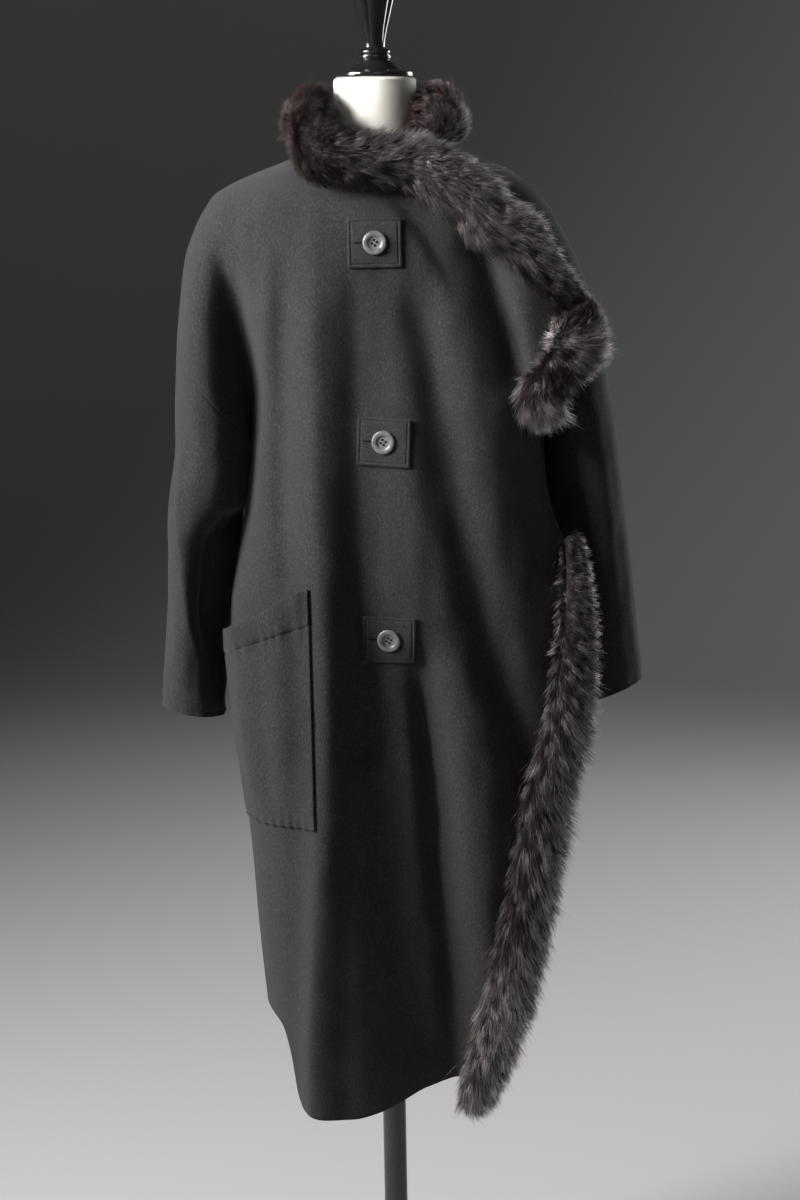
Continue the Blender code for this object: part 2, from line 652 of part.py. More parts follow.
def make_tab(number, tab, panel_tree, wool):
    size = np.linspace(-TAB_SIZE / 2, TAB_SIZE / 2, 5)
    u, v = np.meshgrid(size, size[::-1])
    lean = math.radians(tab.lean)
    x = tab.x + u * math.cos(lean) + v * math.sin(lean)
    z = tab.z - u * math.sin(lean) + v * math.cos(lean)
    points, outward = front_surface(x, z)
    points[..., 1] = -faceted_depth(panel_tree, x, z, wide_front)
    free = np.maximum(u, -v) / (TAB_SIZE / 2)
    lift = tab.clear + TAB_LIFT * soft_step(free)
    inner = points + outward * lift[..., None]
    return cloth_wall(f"tab_{number}", inner + outward * TAB_THICK, inner, wool)


# ---------------------------------------------------------------- buttons
def make_button(number, tab, plastic):
    """A dished four-hole button, turned and drilled, lying on its tab."""
    thick, radius = BUTTON_THICK, BUTTON_RADIUS
    outline_points = (
        (0.0, 0.0), (0.62 * radius, 0.0), (0.95 * radius, 0.25 * thick), (radius, 0.5 * thick),
        (0.95 * radius, 0.85 * thick), (0.82 * radius, thick), (0.60 * radius, 0.80 * thick),
        (0.52 * radius, 0.60 * thick), (0.0, 0.55 * thick),
    )
    made = turned(f"button_{number}", outline_points, plastic)
    bm = bmesh.new()
    for k in range(4):
        angle = math.radians(45 + 90 * k)
        place = Matrix.Translation((HOLE_PITCH * math.cos(angle), HOLE_PITCH * math.sin(angle), thick / 2))
        bmesh.ops.create_cone(bm, cap_ends=True, segments=8, radius1=HOLE_RADIUS, radius2=HOLE_RADIUS,
                              depth=3 * thick, matrix=place)
    drill = add_object(f"button_{number}_drill", bm, plastic)
    drill.hide_render = True
    drill.display_type = "WIRE"
    drill.parent = made
    cut = made.modifiers.new("holes", "BOOLEAN")
    cut.object = drill
    points, outward = front_surface(np.array([tab.x]), np.array([tab.z]))
    normal = Vector(outward[0])
    made.location = Vector(points[0]) + normal * (tab.clear + TAB_LIFT / 2 + TAB_THICK)
    made.rotation_euler = normal.to_track_quat("Z", "Y").to_euler()
    return made


# ---------------------------------------------------------------- fur
def fur_section(middle, across, outward, width, thick):
    angles = np.linspace(0.0, 2 * math.pi, FUR_SIDES, endpoint=False)
    return (middle[None, :] + np.cos(angles)[:, None] * across[None, :] * width / 2
            + np.sin(angles)[:, None] * outward[None, :] * thick / 2)


def collar_frame(degrees):
    """The collar's middle, the way up its width and the way out, at an angle round the neck."""
    angle = math.radians(degrees)
    middle = np.array([COLLAR_RADIUS_X * math.cos(angle), COLLAR_RADIUS_Y * math.sin(angle),
                       (COLLAR_BOTTOM + COLLAR_TOP) / 2])
    outward = np.array([math.cos(angle), math.sin(angle), 0.0])
    return middle, np.array([0.0, 0.0, 1.0]), outward


def collar_ring(degrees):
    middle, up, outward = collar_frame(degrees)
    return fur_section(middle, up, outward, COLLAR_TOP - COLLAR_BOTTOM, 2 * COLLAR_HALF_THICK)


def make_collar(fur):
    rings = [collar_ring(COLLAR_START + (COLLAR_END - COLLAR_START) * k / COLLAR_TURNS)
             for k in range(COLLAR_TURNS + 1)]
    loft("fur_collar", rings, fur)


def under_fur(x, z):
    """The wide front's surface, carried straight up past the shoulder line for the fur to lie on."""
    return wide_front(x, np.minimum(z, SHOULDER_LINE))


def ring_clear_of(panel_tree, ring, clear, beyond):
    """The ring with each point brought forward of the faceted panel."""
    nearest = -faceted_depth(panel_tree, ring[:, 0], ring[:, 2], beyond) - clear
    return np.stack([ring[:, 0], np.minimum(ring[:, 1], nearest), ring[:, 2]], axis=-1)


def fur_rings(table, clear, panel_tree):
    """Rings of fur across its middle line, lying on the front and bent to clear it, and its directions."""
    rows = [np.array([row.x, row.z]) for row in table]
    rings, ways = [], []
    for k, row in enumerate(table):
        ahead = rows[min(k + 1, len(rows) - 1)] - rows[max(k - 1, 0)]
        ahead /= np.linalg.norm(ahead)
        across = np.array([-ahead[1], 0.0, ahead[0]])
        step = 2e-3
        slope_x = (under_fur(row.x + step, row.z) - under_fur(row.x - step, row.z)) / (2 * step)
        slope_z = (under_fur(row.x, row.z + step) - under_fur(row.x, row.z - step)) / (2 * step)
        outward = np.array([-slope_x, -1.0, -slope_z]) / math.sqrt(1 + slope_x**2 + slope_z**2)
        middle = np.array([row.x, -float(under_fur(row.x, row.z)), row.z]) + outward * (row.thick / 2 + clear)
        ring = fur_section(middle, across, outward, row.width, row.thick)
        rings.append(ring_clear_of(panel_tree, ring, clear, under_fur))
        ways.append(np.array([ahead[0], 0.0, ahead[1]]))
    return rings, ways


def bent_between(first, first_way, second, second_way):
    """Rings from one to another, turning smoothly out of the first's direction into the second's."""
    reach = np.linalg.norm(second.mean(axis=0) - first.mean(axis=0))
    rings = []
    for k in range(1, FUR_BENDS + 1):
        t = k / (FUR_BENDS + 1)
        rings.append(first * (2 * t + 1) * (1 - t) ** 2 + second * t * t * (3 - 2 * t)
                     + reach * (first_way * t * (1 - t) ** 2 - second_way * t * t * (1 - t)))
    return rings


def make_front_fur(panel_tree, fur):
    """The fur from the collar's end across to the fold of the front edge, and the turned stretch below it."""
    rings, ways = fur_rings(FUR_UPPER + FUR_TURNED, FRONT_FUR_CLEAR, panel_tree)
    start_angle = COLLAR_END + math.degrees(2 * SEAM / COLLAR_RADIUS_X)
    start = collar_ring(start_angle)
    start_way = np.array([-math.sin(math.radians(start_angle)), math.cos(math.radians(start_angle)), 0.0])
    bend = [ring_clear_of(panel_tree, ring, BEND_CLEAR, lambda x, z: 0 * x)
            for ring in bent_between(start, start_way, rings[0], ways[0])]
    last = len(FUR_UPPER) - 1
    loft("fur_front_upper", [start] + bend + rings[:last + 1], fur)
    loft("fur_front_turned", [rings[last] + 2 * SEAM * ways[last]] + rings[last + 1:], fur)


def make_edge_fur(panel_tree, fur):
    rings, _ = fur_rings(FUR_LOWER, EDGE_FUR_CLEAR, panel_tree)
    loft("fur_front_lower", rings, fur)


# ---------------------------------------------------------------- the form and its stand
def shoulder_ring(level, angles):
    """The coat's own outline at a shoulder row, moved in by its wall so that it rests there."""
    def point(z, angle):
        left, right = read(BODY, "left", z), read(BODY, "right", z)
        depth = np.where(np.sin(angle) >= 0, read(BODY, "front", z), read(BODY, "back", z))
        power = 2 / SQUARE
        x = (left + right) / 2 - (right - left) / 2 * np.sign(np.cos(angle)) * np.abs(np.cos(angle)) ** power
        return np.stack([x, -depth * np.sign(np.sin(angle)) * np.abs(np.sin(angle)) ** power,
                         z + 0 * angle], axis=-1)

    step = 1e-4
    around = point(level, angles + step) - point(level, angles - step)
    up = point(level + step, angles) - point(level - step, angles)
    outward = np.cross(up, around)
    outward /= np.linalg.norm(outward, axis=-1, keepdims=True)
    outward *= np.where(outward[..., 2:3] < 0, -1.0, 1.0)
    return point(level, angles) - outward * (WALL + SEAT)


def make_torso(linen):
    angles = np.linspace(0.0, 2 * math.pi, TORSO_SIDES, endpoint=False) + 1e-3
    rings = [shoulder_ring(level, angles) for level in TORSO_SHOULDERS]
    rings[0][:, 2] = TORSO_TOP
    power = 2 / SQUARE
    for row in TORSO:
        depth = np.where(np.sin(angles) >= 0, row.front, row.back)
        rings.append(np.stack([
            -row.half * np.sign(np.cos(angles)) * np.abs(np.cos(angles)) ** power,
            -depth * np.sign(np.sin(angles)) * np.abs(np.sin(angles)) ** power,
            np.full_like(angles, row.z),
        ], axis=-1))
    loft("form_torso", rings, linen)


def make_neck(linen):
    radius, seat = NECK_RADIUS, TORSO_TOP + SEAM
    outline_points = (
        (0.0, seat), (1.12 * radius, seat), (1.06 * radius, seat + 0.010), (radius, seat + 0.030),
        (radius, NECK_TOP - 0.004), (radius - 0.0012, NECK_TOP - 0.0012), (radius - 0.004, NECK_TOP),
        (0.0, NECK_TOP),
    )
    return turned("form_neck", outline_points, linen)


def make_finial(lacquer):
    start = NECK_TOP + SEAM
    outline_points = [(0.0, start)] + [(radius, start + height) for radius, height in FINIAL]
    return turned("form_finial", outline_points, lacquer)


def make_stand(metal):
    pole_foot = BASE_THICK + SEAM
    pole_top = FORM_BOTTOM - SEAM
    turned("stand_pole", (
        (0.0, pole_foot), (POLE_RADIUS, pole_foot), (POLE_RADIUS, pole_top), (0.0, pole_top),
    ), metal)
    bore = POLE_RADIUS + SEAM
    turned("stand_base", (
        (0.0, 0.0), (BASE_RADIUS - 0.002, 0.0), (BASE_RADIUS, 0.002), (BASE_RADIUS, BASE_THICK - 0.003),
        (BASE_RADIUS - 0.003, BASE_THICK), (SOCKET_RADIUS + 0.006, BASE_THICK),
        (SOCKET_RADIUS, BASE_THICK + 0.006), (SOCKET_RADIUS, SOCKET_TOP - 0.002),
        (SOCKET_RADIUS - 0.002, SOCKET_TOP), (bore, SOCKET_TOP), (bore, BASE_THICK), (0.0, BASE_THICK),
    ), metal, sides=32)


def main():
    for item in list(bpy.data.objects):
        bpy.data.objects.remove(item)
    wool = material("charcoal wool", (0.045, 0.045, 0.047), 0.95)
    fur = material("grey brown fur", (0.090, 0.070, 0.065), 0.80)
    plastic = material("grey button", (0.160, 0.160, 0.165), 0.35)
    linen = material("cream linen", (0.800, 0.770, 0.690), 0.70)
    lacquer = material("black lacquer", (0.010, 0.010, 0.010), 0.15)
    metal = material("black painted metal", (0.012, 0.012, 0.013), 0.35)

    make_back(wool)
    front = make_wide_front(wool)
    front_tree = BVHTree.FromObject(front, bpy.context.evaluated_depsgraph_get())
    make_under_front(wool)
    make_sleeve("sleeve_right", ARM_RIGHT, -1, 0.822, 0.809, wool)
    make_sleeve("sleeve_left", ARM_LEFT, 1, 0.846, 0.815, wool)
    make_pocket(wool)
    for number, tab in enumerate(TABS, start=1):
        make_tab(number, tab, front_tree, wool)
        make_button(number, tab, plastic)
    make_collar(fur)
    make_front_fur(front_tree, fur)
    make_edge_fur(front_tree, fur)
    make_torso(linen)
    make_neck(linen)
    make_finial(lacquer)
    make_stand(metal)


main()
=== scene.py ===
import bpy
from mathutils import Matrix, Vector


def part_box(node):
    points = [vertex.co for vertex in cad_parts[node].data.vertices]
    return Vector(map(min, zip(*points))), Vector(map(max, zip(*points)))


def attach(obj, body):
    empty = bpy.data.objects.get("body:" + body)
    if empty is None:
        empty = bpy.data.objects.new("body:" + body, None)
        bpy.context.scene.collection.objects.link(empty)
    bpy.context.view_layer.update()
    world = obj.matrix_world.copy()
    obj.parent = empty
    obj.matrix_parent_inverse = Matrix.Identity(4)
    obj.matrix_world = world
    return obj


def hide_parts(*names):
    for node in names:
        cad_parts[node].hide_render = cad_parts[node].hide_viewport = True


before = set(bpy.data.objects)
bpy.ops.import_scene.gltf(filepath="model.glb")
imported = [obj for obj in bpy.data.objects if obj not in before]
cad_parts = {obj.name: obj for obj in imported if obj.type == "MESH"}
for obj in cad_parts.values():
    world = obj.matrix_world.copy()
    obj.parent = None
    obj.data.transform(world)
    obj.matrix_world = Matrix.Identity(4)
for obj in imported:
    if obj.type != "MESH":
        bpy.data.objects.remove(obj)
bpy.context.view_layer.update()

# The looks of a wool coat with a fur-trimmed front edge, hanging on a limbless dress form with its stand.
#
# Metres, +Z up. The pole stands on the Z axis, the floor is z = 0 and the front of the coat faces -Y, so
# the wearer's right is at -X. A cloth surface is given as a depth, forwards or backwards from the plane
# y = 0 of the side seams, at each place (x, z). Heights are absolute.

import math
from collections import namedtuple

import bmesh
import bpy
import numpy as np
from mathutils import Matrix, Vector
from mathutils.kdtree import KDTree

# ---------------------------------------------------------------- driving dimensions
WALL = 0.003  # napped wool
WORN_EDGE = 0.32  # of a cloth's thickness, rounded off its edges
EDGE_TURN = math.radians(60)  # a sharper turn than this is an edge
SEAM = 0.0003  # between two pieces that meet
MERGE = 1e-6  # points as close as this become one
ARMHOLE_SEAM = 0.0006  # down from a panel's slanting edge to the sleeve's
SIDE_RAMP = 0.25  # share of a row over which its columns crowd towards a side
WIDE_FRONT_COLUMNS = 124
UNDER_FRONT_COLUMNS = 40
HALF_BACK_COLUMNS = 44
ARMHOLE_TOP = 1.255
ARMPIT = 1.150
ARM_APART = ARMPIT + 1e-6  # above this an arm is sewn to the body
HEM_EASE_FROM = 0.62  # below this height the rows ease from level to the line of the hem
SHOULDER_LINE = 1.462
ROW_PITCH = 0.0064
ARMHOLE_ROWS = 24
LINE_ROWS = 7  # rows or columns that lie close together round a line of stitches

# The body at a height: left and right are its side seams and front and back its depths. The wide
# right front wraps past the side seam, so it is shaped as if its own right side lay at wrap. The
# left front lies inside it by inset.
Body = namedtuple("Body", "z left right wrap front back inset")
BODY = (
    Body(1.484, -0.085, 0.090, 0.090, 0.060, 0.058, 0.002),
    Body(1.476, -0.103, 0.112, 0.112, 0.074, 0.068, 0.003),
    Body(1.465, -0.133, 0.147, 0.147, 0.087, 0.078, 0.004),
    Body(1.453, -0.163, 0.168, 0.168, 0.097, 0.086, 0.004),
    Body(1.436, -0.193, 0.188, 0.190, 0.107, 0.094, 0.005),
    Body(1.418, -0.203, 0.200, 0.210, 0.115, 0.100, 0.013),
    Body(1.395, -0.200, 0.200, 0.235, 0.121, 0.106, 0.019),
    Body(1.360, -0.192, 0.200, 0.265, 0.128, 0.112, 0.026),
    Body(1.312, -0.181, 0.200, 0.290, 0.133, 0.118, 0.026),
    Body(1.255, -0.165, 0.198, 0.303, 0.137, 0.122, 0.024),
    Body(1.200, -0.155, 0.195, 0.310, 0.140, 0.126, 0.025),
    Body(1.150, -0.156, 0.195, 0.310, 0.142, 0.130, 0.025),
    Body(1.080, -0.1640, 0.1985, 0.310, 0.146, 0.136, 0.025),
    Body(1.000, -0.1780, 0.2045, 0.310, 0.150, 0.142, 0.025),
    Body(0.950, -0.1870, 0.2085, 0.310, 0.152, 0.145, 0.026),
    Body(0.850, -0.1910, 0.2125, 0.305, 0.153, 0.147, 0.045),
    Body(0.750, -0.1805, 0.204, 0.285, 0.151, 0.145, 0.058),
    Body(0.650, -0.170, 0.194, 0.262, 0.147, 0.140, 0.067),
    Body(0.550, -0.164, 0.180, 0.238, 0.142, 0.133, 0.067),
    Body(0.450, -0.156, 0.160, 0.216, 0.136, 0.124, 0.062),
    Body(0.330, -0.142, 0.135, 0.198, 0.128, 0.112, 0.060),
)
SQUARE = 2.3  # exponent of the body's sections, 2 for an ellipse

# An arm at a height: the middle and half-width of its section, how far it reaches each way, and the
# depth of the valley between it and the body, which runs out at the armpit.
Arm = namedtuple("Arm", "z middle half front back valley")
ARM_RIGHT = (
    Arm(1.484, -0.060, 0.010, 0.000, 0.000, 0.000),
    Arm(1.465, -0.105, 0.012, 0.000, 0.000, 0.000),
    Arm(1.450, -0.145, 0.016, 0.000, 0.000, 0.000),
    Arm(1.436, -0.166, 0.022, 0.012, 0.012, 0.010),
    Arm(1.418, -0.176, 0.030, 0.042, 0.040, 0.036),
    Arm(1.395, -0.184, 0.034, 0.052, 0.050, 0.048),
    Arm(1.360, -0.193, 0.037, 0.060, 0.058, 0.052),
    Arm(1.312, -0.198, 0.039, 0.065, 0.064, 0.050),
    Arm(1.255, -0.2025, 0.0405, 0.068, 0.068, 0.042),
    Arm(1.200, -0.2030, 0.0435, 0.069, 0.070, 0.027),
    Arm(1.150, -0.2023, 0.0456, 0.068, 0.072, 0.000),
    Arm(1.070, -0.2140, 0.0450, 0.062, 0.078, 0.000),
    Arm(1.000, -0.2220, 0.0410, 0.056, 0.080, 0.000),
    Arm(0.950, -0.2275, 0.0375, 0.052, 0.080, 0.000),
    Arm(0.900, -0.2325, 0.0360, 0.048, 0.080, 0.000),
    Arm(0.850, -0.2360, 0.0370, 0.046, 0.080, 0.000),
    Arm(0.810, -0.2370, 0.0390, 0.045, 0.080, 0.000),
)
ARM_LEFT = (
    Arm(1.484, 0.060, 0.010, 0.000, 0.000, 0.000),
    Arm(1.465, 0.115, 0.012, 0.000, 0.000, 0.000),
    Arm(1.450, 0.145, 0.016, 0.000, 0.000, 0.000),
    Arm(1.436, 0.162, 0.022, 0.012, 0.012, 0.010),
    Arm(1.418, 0.173, 0.030, 0.042, 0.040, 0.036),
    Arm(1.395, 0.182, 0.034, 0.050, 0.050, 0.048),
    Arm(1.360, 0.197, 0.037, 0.056, 0.058, 0.052),
    Arm(1.312, 0.212, 0.040, 0.060, 0.064, 0.050),
    Arm(1.255, 0.2235, 0.0415, 0.062, 0.068, 0.042),
    Arm(1.200, 0.2300, 0.0440, 0.062, 0.070, 0.027),
    Arm(1.150, 0.2388, 0.0432, 0.061, 0.072, 0.000),
    Arm(1.080, 0.2450, 0.0450, 0.058, 0.074, 0.000),
    Arm(1.000, 0.2530, 0.0460, 0.056, 0.076, 0.000),
    Arm(0.950, 0.2580, 0.0460, 0.054, 0.076, 0.000),
    Arm(0.900, 0.2625, 0.0455, 0.052, 0.076, 0.000),
    Arm(0.850, 0.2665, 0.0465, 0.050, 0.076, 0.000),
    Arm(0.810, 0.2660, 0.0450, 0.049, 0.076, 0.000),
)
ARM_BLEND = 6.0  # how sharply an arm meets the body

# The front edge of each front and its neckline above it: x at a height.
Edge = namedtuple("Edge", "z x")
RIGHT_FRONT_EDGE = (
    Edge(1.484, -0.066), Edge(1.476, -0.058), Edge(1.465, -0.040), Edge(1.453, 0.002), Edge(1.436, 0.050),
    Edge(1.418, 0.094), Edge(1.395, 0.136), Edge(1.360, 0.178), Edge(1.312, 0.222), Edge(1.255, 0.232),
    Edge(1.200, 0.205), Edge(1.150, 0.185), Edge(1.080, 0.196), Edge(1.000, 0.220), Edge(0.950, 0.222),
    Edge(0.850, 0.212), Edge(0.750, 0.190), Edge(0.650, 0.172), Edge(0.550, 0.150), Edge(0.450, 0.132),
    Edge(0.330, 0.110),
)
LEFT_FRONT_EDGE = (
    Edge(1.484, 0.074), Edge(1.476, 0.071), Edge(1.465, 0.066), Edge(1.453, 0.058), Edge(1.436, 0.050),
    Edge(1.418, 0.046), Edge(1.360, 0.030), Edge(1.255, 0.020), Edge(0.330, 0.020),
)

# The hem: its height by x, at the front and at the back.
Hem = namedtuple("Hem", "x z")
FRONT_HEM = (
    Hem(-0.156, 0.462), Hem(-0.145, 0.450), Hem(-0.132, 0.440), Hem(-0.1245, 0.431), Hem(-0.1185, 0.397),
    Hem(-0.1162, 0.350), Hem(-0.110, 0.332), Hem(-0.085, 0.325), Hem(-0.050, 0.323), Hem(-0.010, 0.330),
    Hem(0.040, 0.350), Hem(0.085, 0.361), Hem(0.140, 0.352),
)
BACK_HEM = (Hem(-0.156, 0.462), Hem(-0.100, 0.412), Hem(0.000, 0.385), Hem(0.100, 0.385), Hem(0.140, 0.400))
LEFT_HEM = (Hem(0.020, 0.380), Hem(0.100, 0.385), Hem(0.140, 0.400))

# A crease: a ridge stands out, a trough has a negative depth. It reaches left_wide and right_wide to its
# sides, and soft is 2 for a rounded one, nearer 1 for a pressed one. route gives at each height where its
# middle lies, in x on a panel or in degrees round a sleeve, and what share of its depth it has there. Beyond
# the route's ends it runs out over fade.
Crease = namedtuple("Crease", "name depth left_wide right_wide soft fade route")
FRONT_CREASES = (
    Crease("hollow beside the arm", -0.016, 0.034, 0.011, 1.8, 0.03, (
        (1.350, -0.166, 0.3), (1.290, -0.161, 1.0), (1.210, -0.151, 1.0), (1.165, -0.150, 0.5),
    )),
    Crease("side ridge", 0.007, 0.010, 0.020, 1.7, 0.06, (
        (1.345, -0.126, 0.4), (1.268, -0.132, 1.0), (1.180, -0.140, 1.0), (1.060, -0.148, 0.5),
    )),
    Crease("dip behind pocket ridge", -0.009, 0.014, 0.012, 2.0, 0.05, (
        (1.330, -0.110, 0.6), (1.110, -0.116, 1.0), (1.000, -0.114, 0.7),
    )),
    Crease("pocket ridge", 0.013, 0.022, 0.027, 1.8, 0.05, (
        (1.365, -0.072, 0.3), (1.250, -0.078, 0.8), (1.110, -0.079, 1.0), (0.990, -0.074, 1.0),
        (0.850, -0.070, 1.0), (0.700, -0.074, 0.7), (0.600, -0.080, 0.3),
    )),
    Crease("left trough", -0.016, 0.023, 0.070, 1.8, 0.05, (
        (1.352, -0.022, 0.3), (1.283, -0.022, 0.7), (1.200, -0.025, 0.9), (1.110, -0.025, 1.0),
        (1.017, -0.025, 1.1), (0.900, -0.026, 1.0), (0.800, -0.026, 0.6),
    )),
    Crease("wide hollow", -0.042, 0.082, 0.040, 2.0, 0.05, (
        (0.950, 0.030, 0.1), (0.830, 0.030, 0.7), (0.735, 0.034, 1.0), (0.640, 0.040, 1.1),
        (0.540, 0.046, 1.1), (0.330, 0.056, 1.1),
    )),
    Crease("button plane", 0.002, 0.020, 0.020, 2.0, 0.08, (
        (1.290, 0.030, 0.5), (1.110, 0.036, 1.0), (0.900, 0.042, 1.0), (0.780, 0.040, 0.5),
    )),
    Crease("neck pull", -0.0090, 0.011, 0.048, 1.35, 0.03, (
        (1.457, 0.009, 0.1), (1.436, 0.019, 0.35), (1.415, 0.035, 0.9), (1.392, 0.051, 1.0),
        (1.367, 0.066, 0.9), (1.345, 0.078, 0.7), (1.327, 0.086, 0.4),
    )),
    Crease("chest fall", -0.0090, 0.056, 0.022, 2.0, 0.05, (
        (1.385, 0.114, 0.3), (1.350, 0.126, 1.0), (1.300, 0.138, 1.0), (1.240, 0.152, 0.7),
    )),
    Crease("slanting trough", -0.0155, 0.024, 0.026, 1.9, 0.05, (
        (1.350, 0.040, 0.1), (1.328, 0.043, 0.4), (1.271, 0.053, 0.9), (1.213, 0.064, 1.0),
        (1.156, 0.072, 1.0), (1.097, 0.080, 1.0), (1.039, 0.092, 1.0), (0.980, 0.106, 1.0),
        (0.920, 0.118, 1.0), (0.860, 0.134, 1.0), (0.812, 0.150, 0.8), (0.751, 0.164, 0.5),
    )),
    Crease("chest ridge", 0.002, 0.022, 0.022, 2.0, 0.08, (
        (1.300, 0.096, 0.6), (1.200, 0.110, 1.0), (1.100, 0.126, 1.0), (1.000, 0.148, 1.0),
        (0.850, 0.172, 0.7),
    )),
    Crease("turn to the edge", -0.017, 0.110, 0.060, 2.0, 0.08, (
        (1.250, 0.190, 0.2), (1.150, 0.195, 0.6), (1.000, 0.210, 1.0), (0.850, 0.205, 1.0),
        (0.750, 0.190, 1.0), (0.600, 0.168, 1.0), (0.450, 0.150, 0.9), (0.330, 0.138, 0.8),
    )),
    Crease("shoulder dent", -0.003, 0.012, 0.010, 2.0, 0.02, (
        (1.414, -0.166, 1.0), (1.385, -0.167, 1.0),
    )),
    Crease("flap trough", -0.021, 0.021, 0.011, 1.5, 0.03, (
        (1.385, 0.120, 0.6), (1.361, 0.126, 1.0), (1.313, 0.138, 1.0), (1.268, 0.150, 1.0),
        (1.225, 0.160, 0.8),
    )),
    Crease("edge roll", -0.024, 0.030, 0.030, 2.0, 0.06, (
        (1.180, 0.182, 0.7), (1.150, 0.190, 1.0), (1.080, 0.200, 1.0), (1.020, 0.214, 0.8),
    )),
    Crease("hem fold", 0.019, 0.013, 0.034, 1.8, 0.08, (
        (0.760, -0.084, 0.1), (0.660, -0.086, 0.6), (0.535, -0.092, 1.0), (0.420, -0.100, 1.2),
        (0.330, -0.102, 1.2),
    )),
    Crease("lower ridge", 0.006, 0.024, 0.014, 2.0, 0.08, (
        (0.850, 0.020, 0.7), (0.668, 0.036, 1.0), (0.482, 0.048, 0.8),
    )),
    Crease("lower trough", -0.019, 0.016, 0.024, 1.8, 0.05, (
        (0.886, 0.040, 0.4), (0.820, 0.046, 0.8), (0.731, 0.059, 0.9), (0.620, 0.065, 0.8),
        (0.555, 0.073, 0.9), (0.465, 0.079, 0.9), (0.330, 0.082, 0.8),
    )),
)
# The fur is stiff, and lies as if the two creases under it weren't there.
CREASES_UNDER_FUR = [crease for crease in FRONT_CREASES if crease.name not in ("neck pull", "chest fall")]
BACK_CREASES = (
    Crease("nape hollow", -0.008, 0.055, 0.050, 2.0, 0.10, (
        (1.300, 0.010, 0.7), (1.200, 0.004, 1.0), (1.080, -0.004, 0.7),
    )),
    Crease("right blade fold", -0.012, 0.022, 0.030, 1.7, 0.10, (
        (1.300, -0.085, 0.5), (1.100, -0.070, 1.0), (0.850, -0.062, 1.2), (0.500, -0.048, 1.0),
    )),
    Crease("right hem flare", 0.012, 0.026, 0.022, 1.9, 0.10, (
        (0.850, -0.105, 0.4), (0.600, -0.092, 1.0), (0.400, -0.084, 1.3),
    )),
    Crease("left blade fold", -0.013, 0.030, 0.020, 1.7, 0.10, (
        (1.240, 0.098, 0.5), (1.050, 0.086, 1.0), (0.800, 0.080, 1.2), (0.450, 0.058, 1.1),
    )),
    Crease("middle flare", 0.011, 0.032, 0.028, 1.9, 0.10, (
        (0.800, 0.010, 0.4), (0.550, 0.004, 1.0), (0.380, -0.002, 1.2),
    )),
    Crease("left hem flare", 0.010, 0.022, 0.026, 1.9, 0.10, (
        (0.780, 0.126, 0.6), (0.550, 0.108, 1.0), (0.400, 0.098, 1.0),
    )),
    Crease("right side trough", -0.007, 0.018, 0.018, 1.8, 0.10, (
        (1.000, -0.140, 1.0), (0.750, -0.134, 1.0), (0.550, -0.122, 0.7),
    )),
)
# The sleeves' creases go round the arm: 0 degrees is its outer side, 90 its front and 180 its inner side.
RIGHT_SLEEVE_CREASES = (
    Crease("front ridge", 0.005, 12, 13, 1.3, 0.02, (
        (1.140, 38, 0.4), (1.080, 50, 1.0), (1.007, 62, 1.0), (0.959, 72, 1.0), (0.910, 92, 0.8),
        (0.879, 110, 0.4),
    )),
    Crease("elbow bulge", 0.007, 45, 45, 2.0, 0.014, (
        (1.115, 125, 0.5), (1.085, 132, 1.0), (1.068, 138, 0.9),
    )),
    Crease("elbow hollow", -0.022, 38, 50, 2.2, 0.020, (
        (1.052, 150, 0.7), (1.040, 134, 1.0), (1.020, 120, 1.1), (0.990, 116, 1.1), (0.950, 122, 1.1),
        (0.900, 144, 0.8), (0.850, 158, 0.3),
    )),
    Crease("inner back bulge", 0.011, 30, 26, 2.0, 0.03, (
        (1.120, 214, 0.6), (1.060, 216, 1.0), (0.900, 216, 1.0), (0.850, 214, 0.8),
    )),
    Crease("outer dent", -0.003, 18, 20, 2.0, 0.04, (
        (1.000, 10, 0.6), (0.940, 22, 1.0), (0.890, 34, 0.5),
    )),
    Crease("elbow crease behind", -0.008, 26, 30, 2.0, 0.02, (
        (1.060, 262, 0.7), (1.030, 272, 1.0), (0.990, 292, 0.6),
    )),
    Crease("elbow roll behind", 0.004, 34, 34, 2.0, 0.02, ((1.085, 268, 0.7), (1.072, 282, 1.0))),
    Crease("lower crease behind", -0.006, 22, 24, 2.0, 0.03, (
        (0.970, 240, 0.5), (0.930, 262, 1.0), (0.890, 282, 0.5),
    )),
)
LEFT_SLEEVE_CREASES = (
    Crease("front hollow", -0.010, 30, 36, 2.0, 0.04, (
        (1.080, 120, 0.5), (1.030, 112, 1.0), (0.970, 116, 1.0), (0.900, 132, 0.6),
    )),
    Crease("front ridge", 0.004, 20, 22, 1.6, 0.05, (
        (1.120, 62, 0.5), (1.030, 70, 1.0), (0.930, 82, 0.7),
    )),
    Crease("inner back bulge", 0.014, 32, 28, 2.0, 0.03, (
        (1.130, 216, 0.6), (1.080, 220, 1.0), (1.000, 220, 1.0), (0.900, 218, 0.7),
    )),
    Crease("elbow crease behind", -0.008, 26, 30, 2.0, 0.02, (
        (1.070, 250, 0.6), (1.040, 268, 1.0), (1.010, 286, 0.5),
    )),
    Crease("elbow roll behind", 0.004, 34, 34, 2.0, 0.02, ((1.095, 262, 0.8), (1.078, 276, 1.0))),
    Crease("lower crease behind", -0.006, 22, 24, 2.0, 0.03, (
        (0.960, 290, 0.5), (0.920, 270, 1.0), (0.880, 252, 0.5),
    )),
)
SLEEVE_FREE = 0.030  # below its seam a sleeve's creases start over this length
ARMHOLE_FREE = 0.035  # above the seam, a panel's creases do the same
FRONT_FREE = 0.06  # towards its sides the wide front's creases run out over this depth
BACK_FREE = 0.08  # and the back's over this one

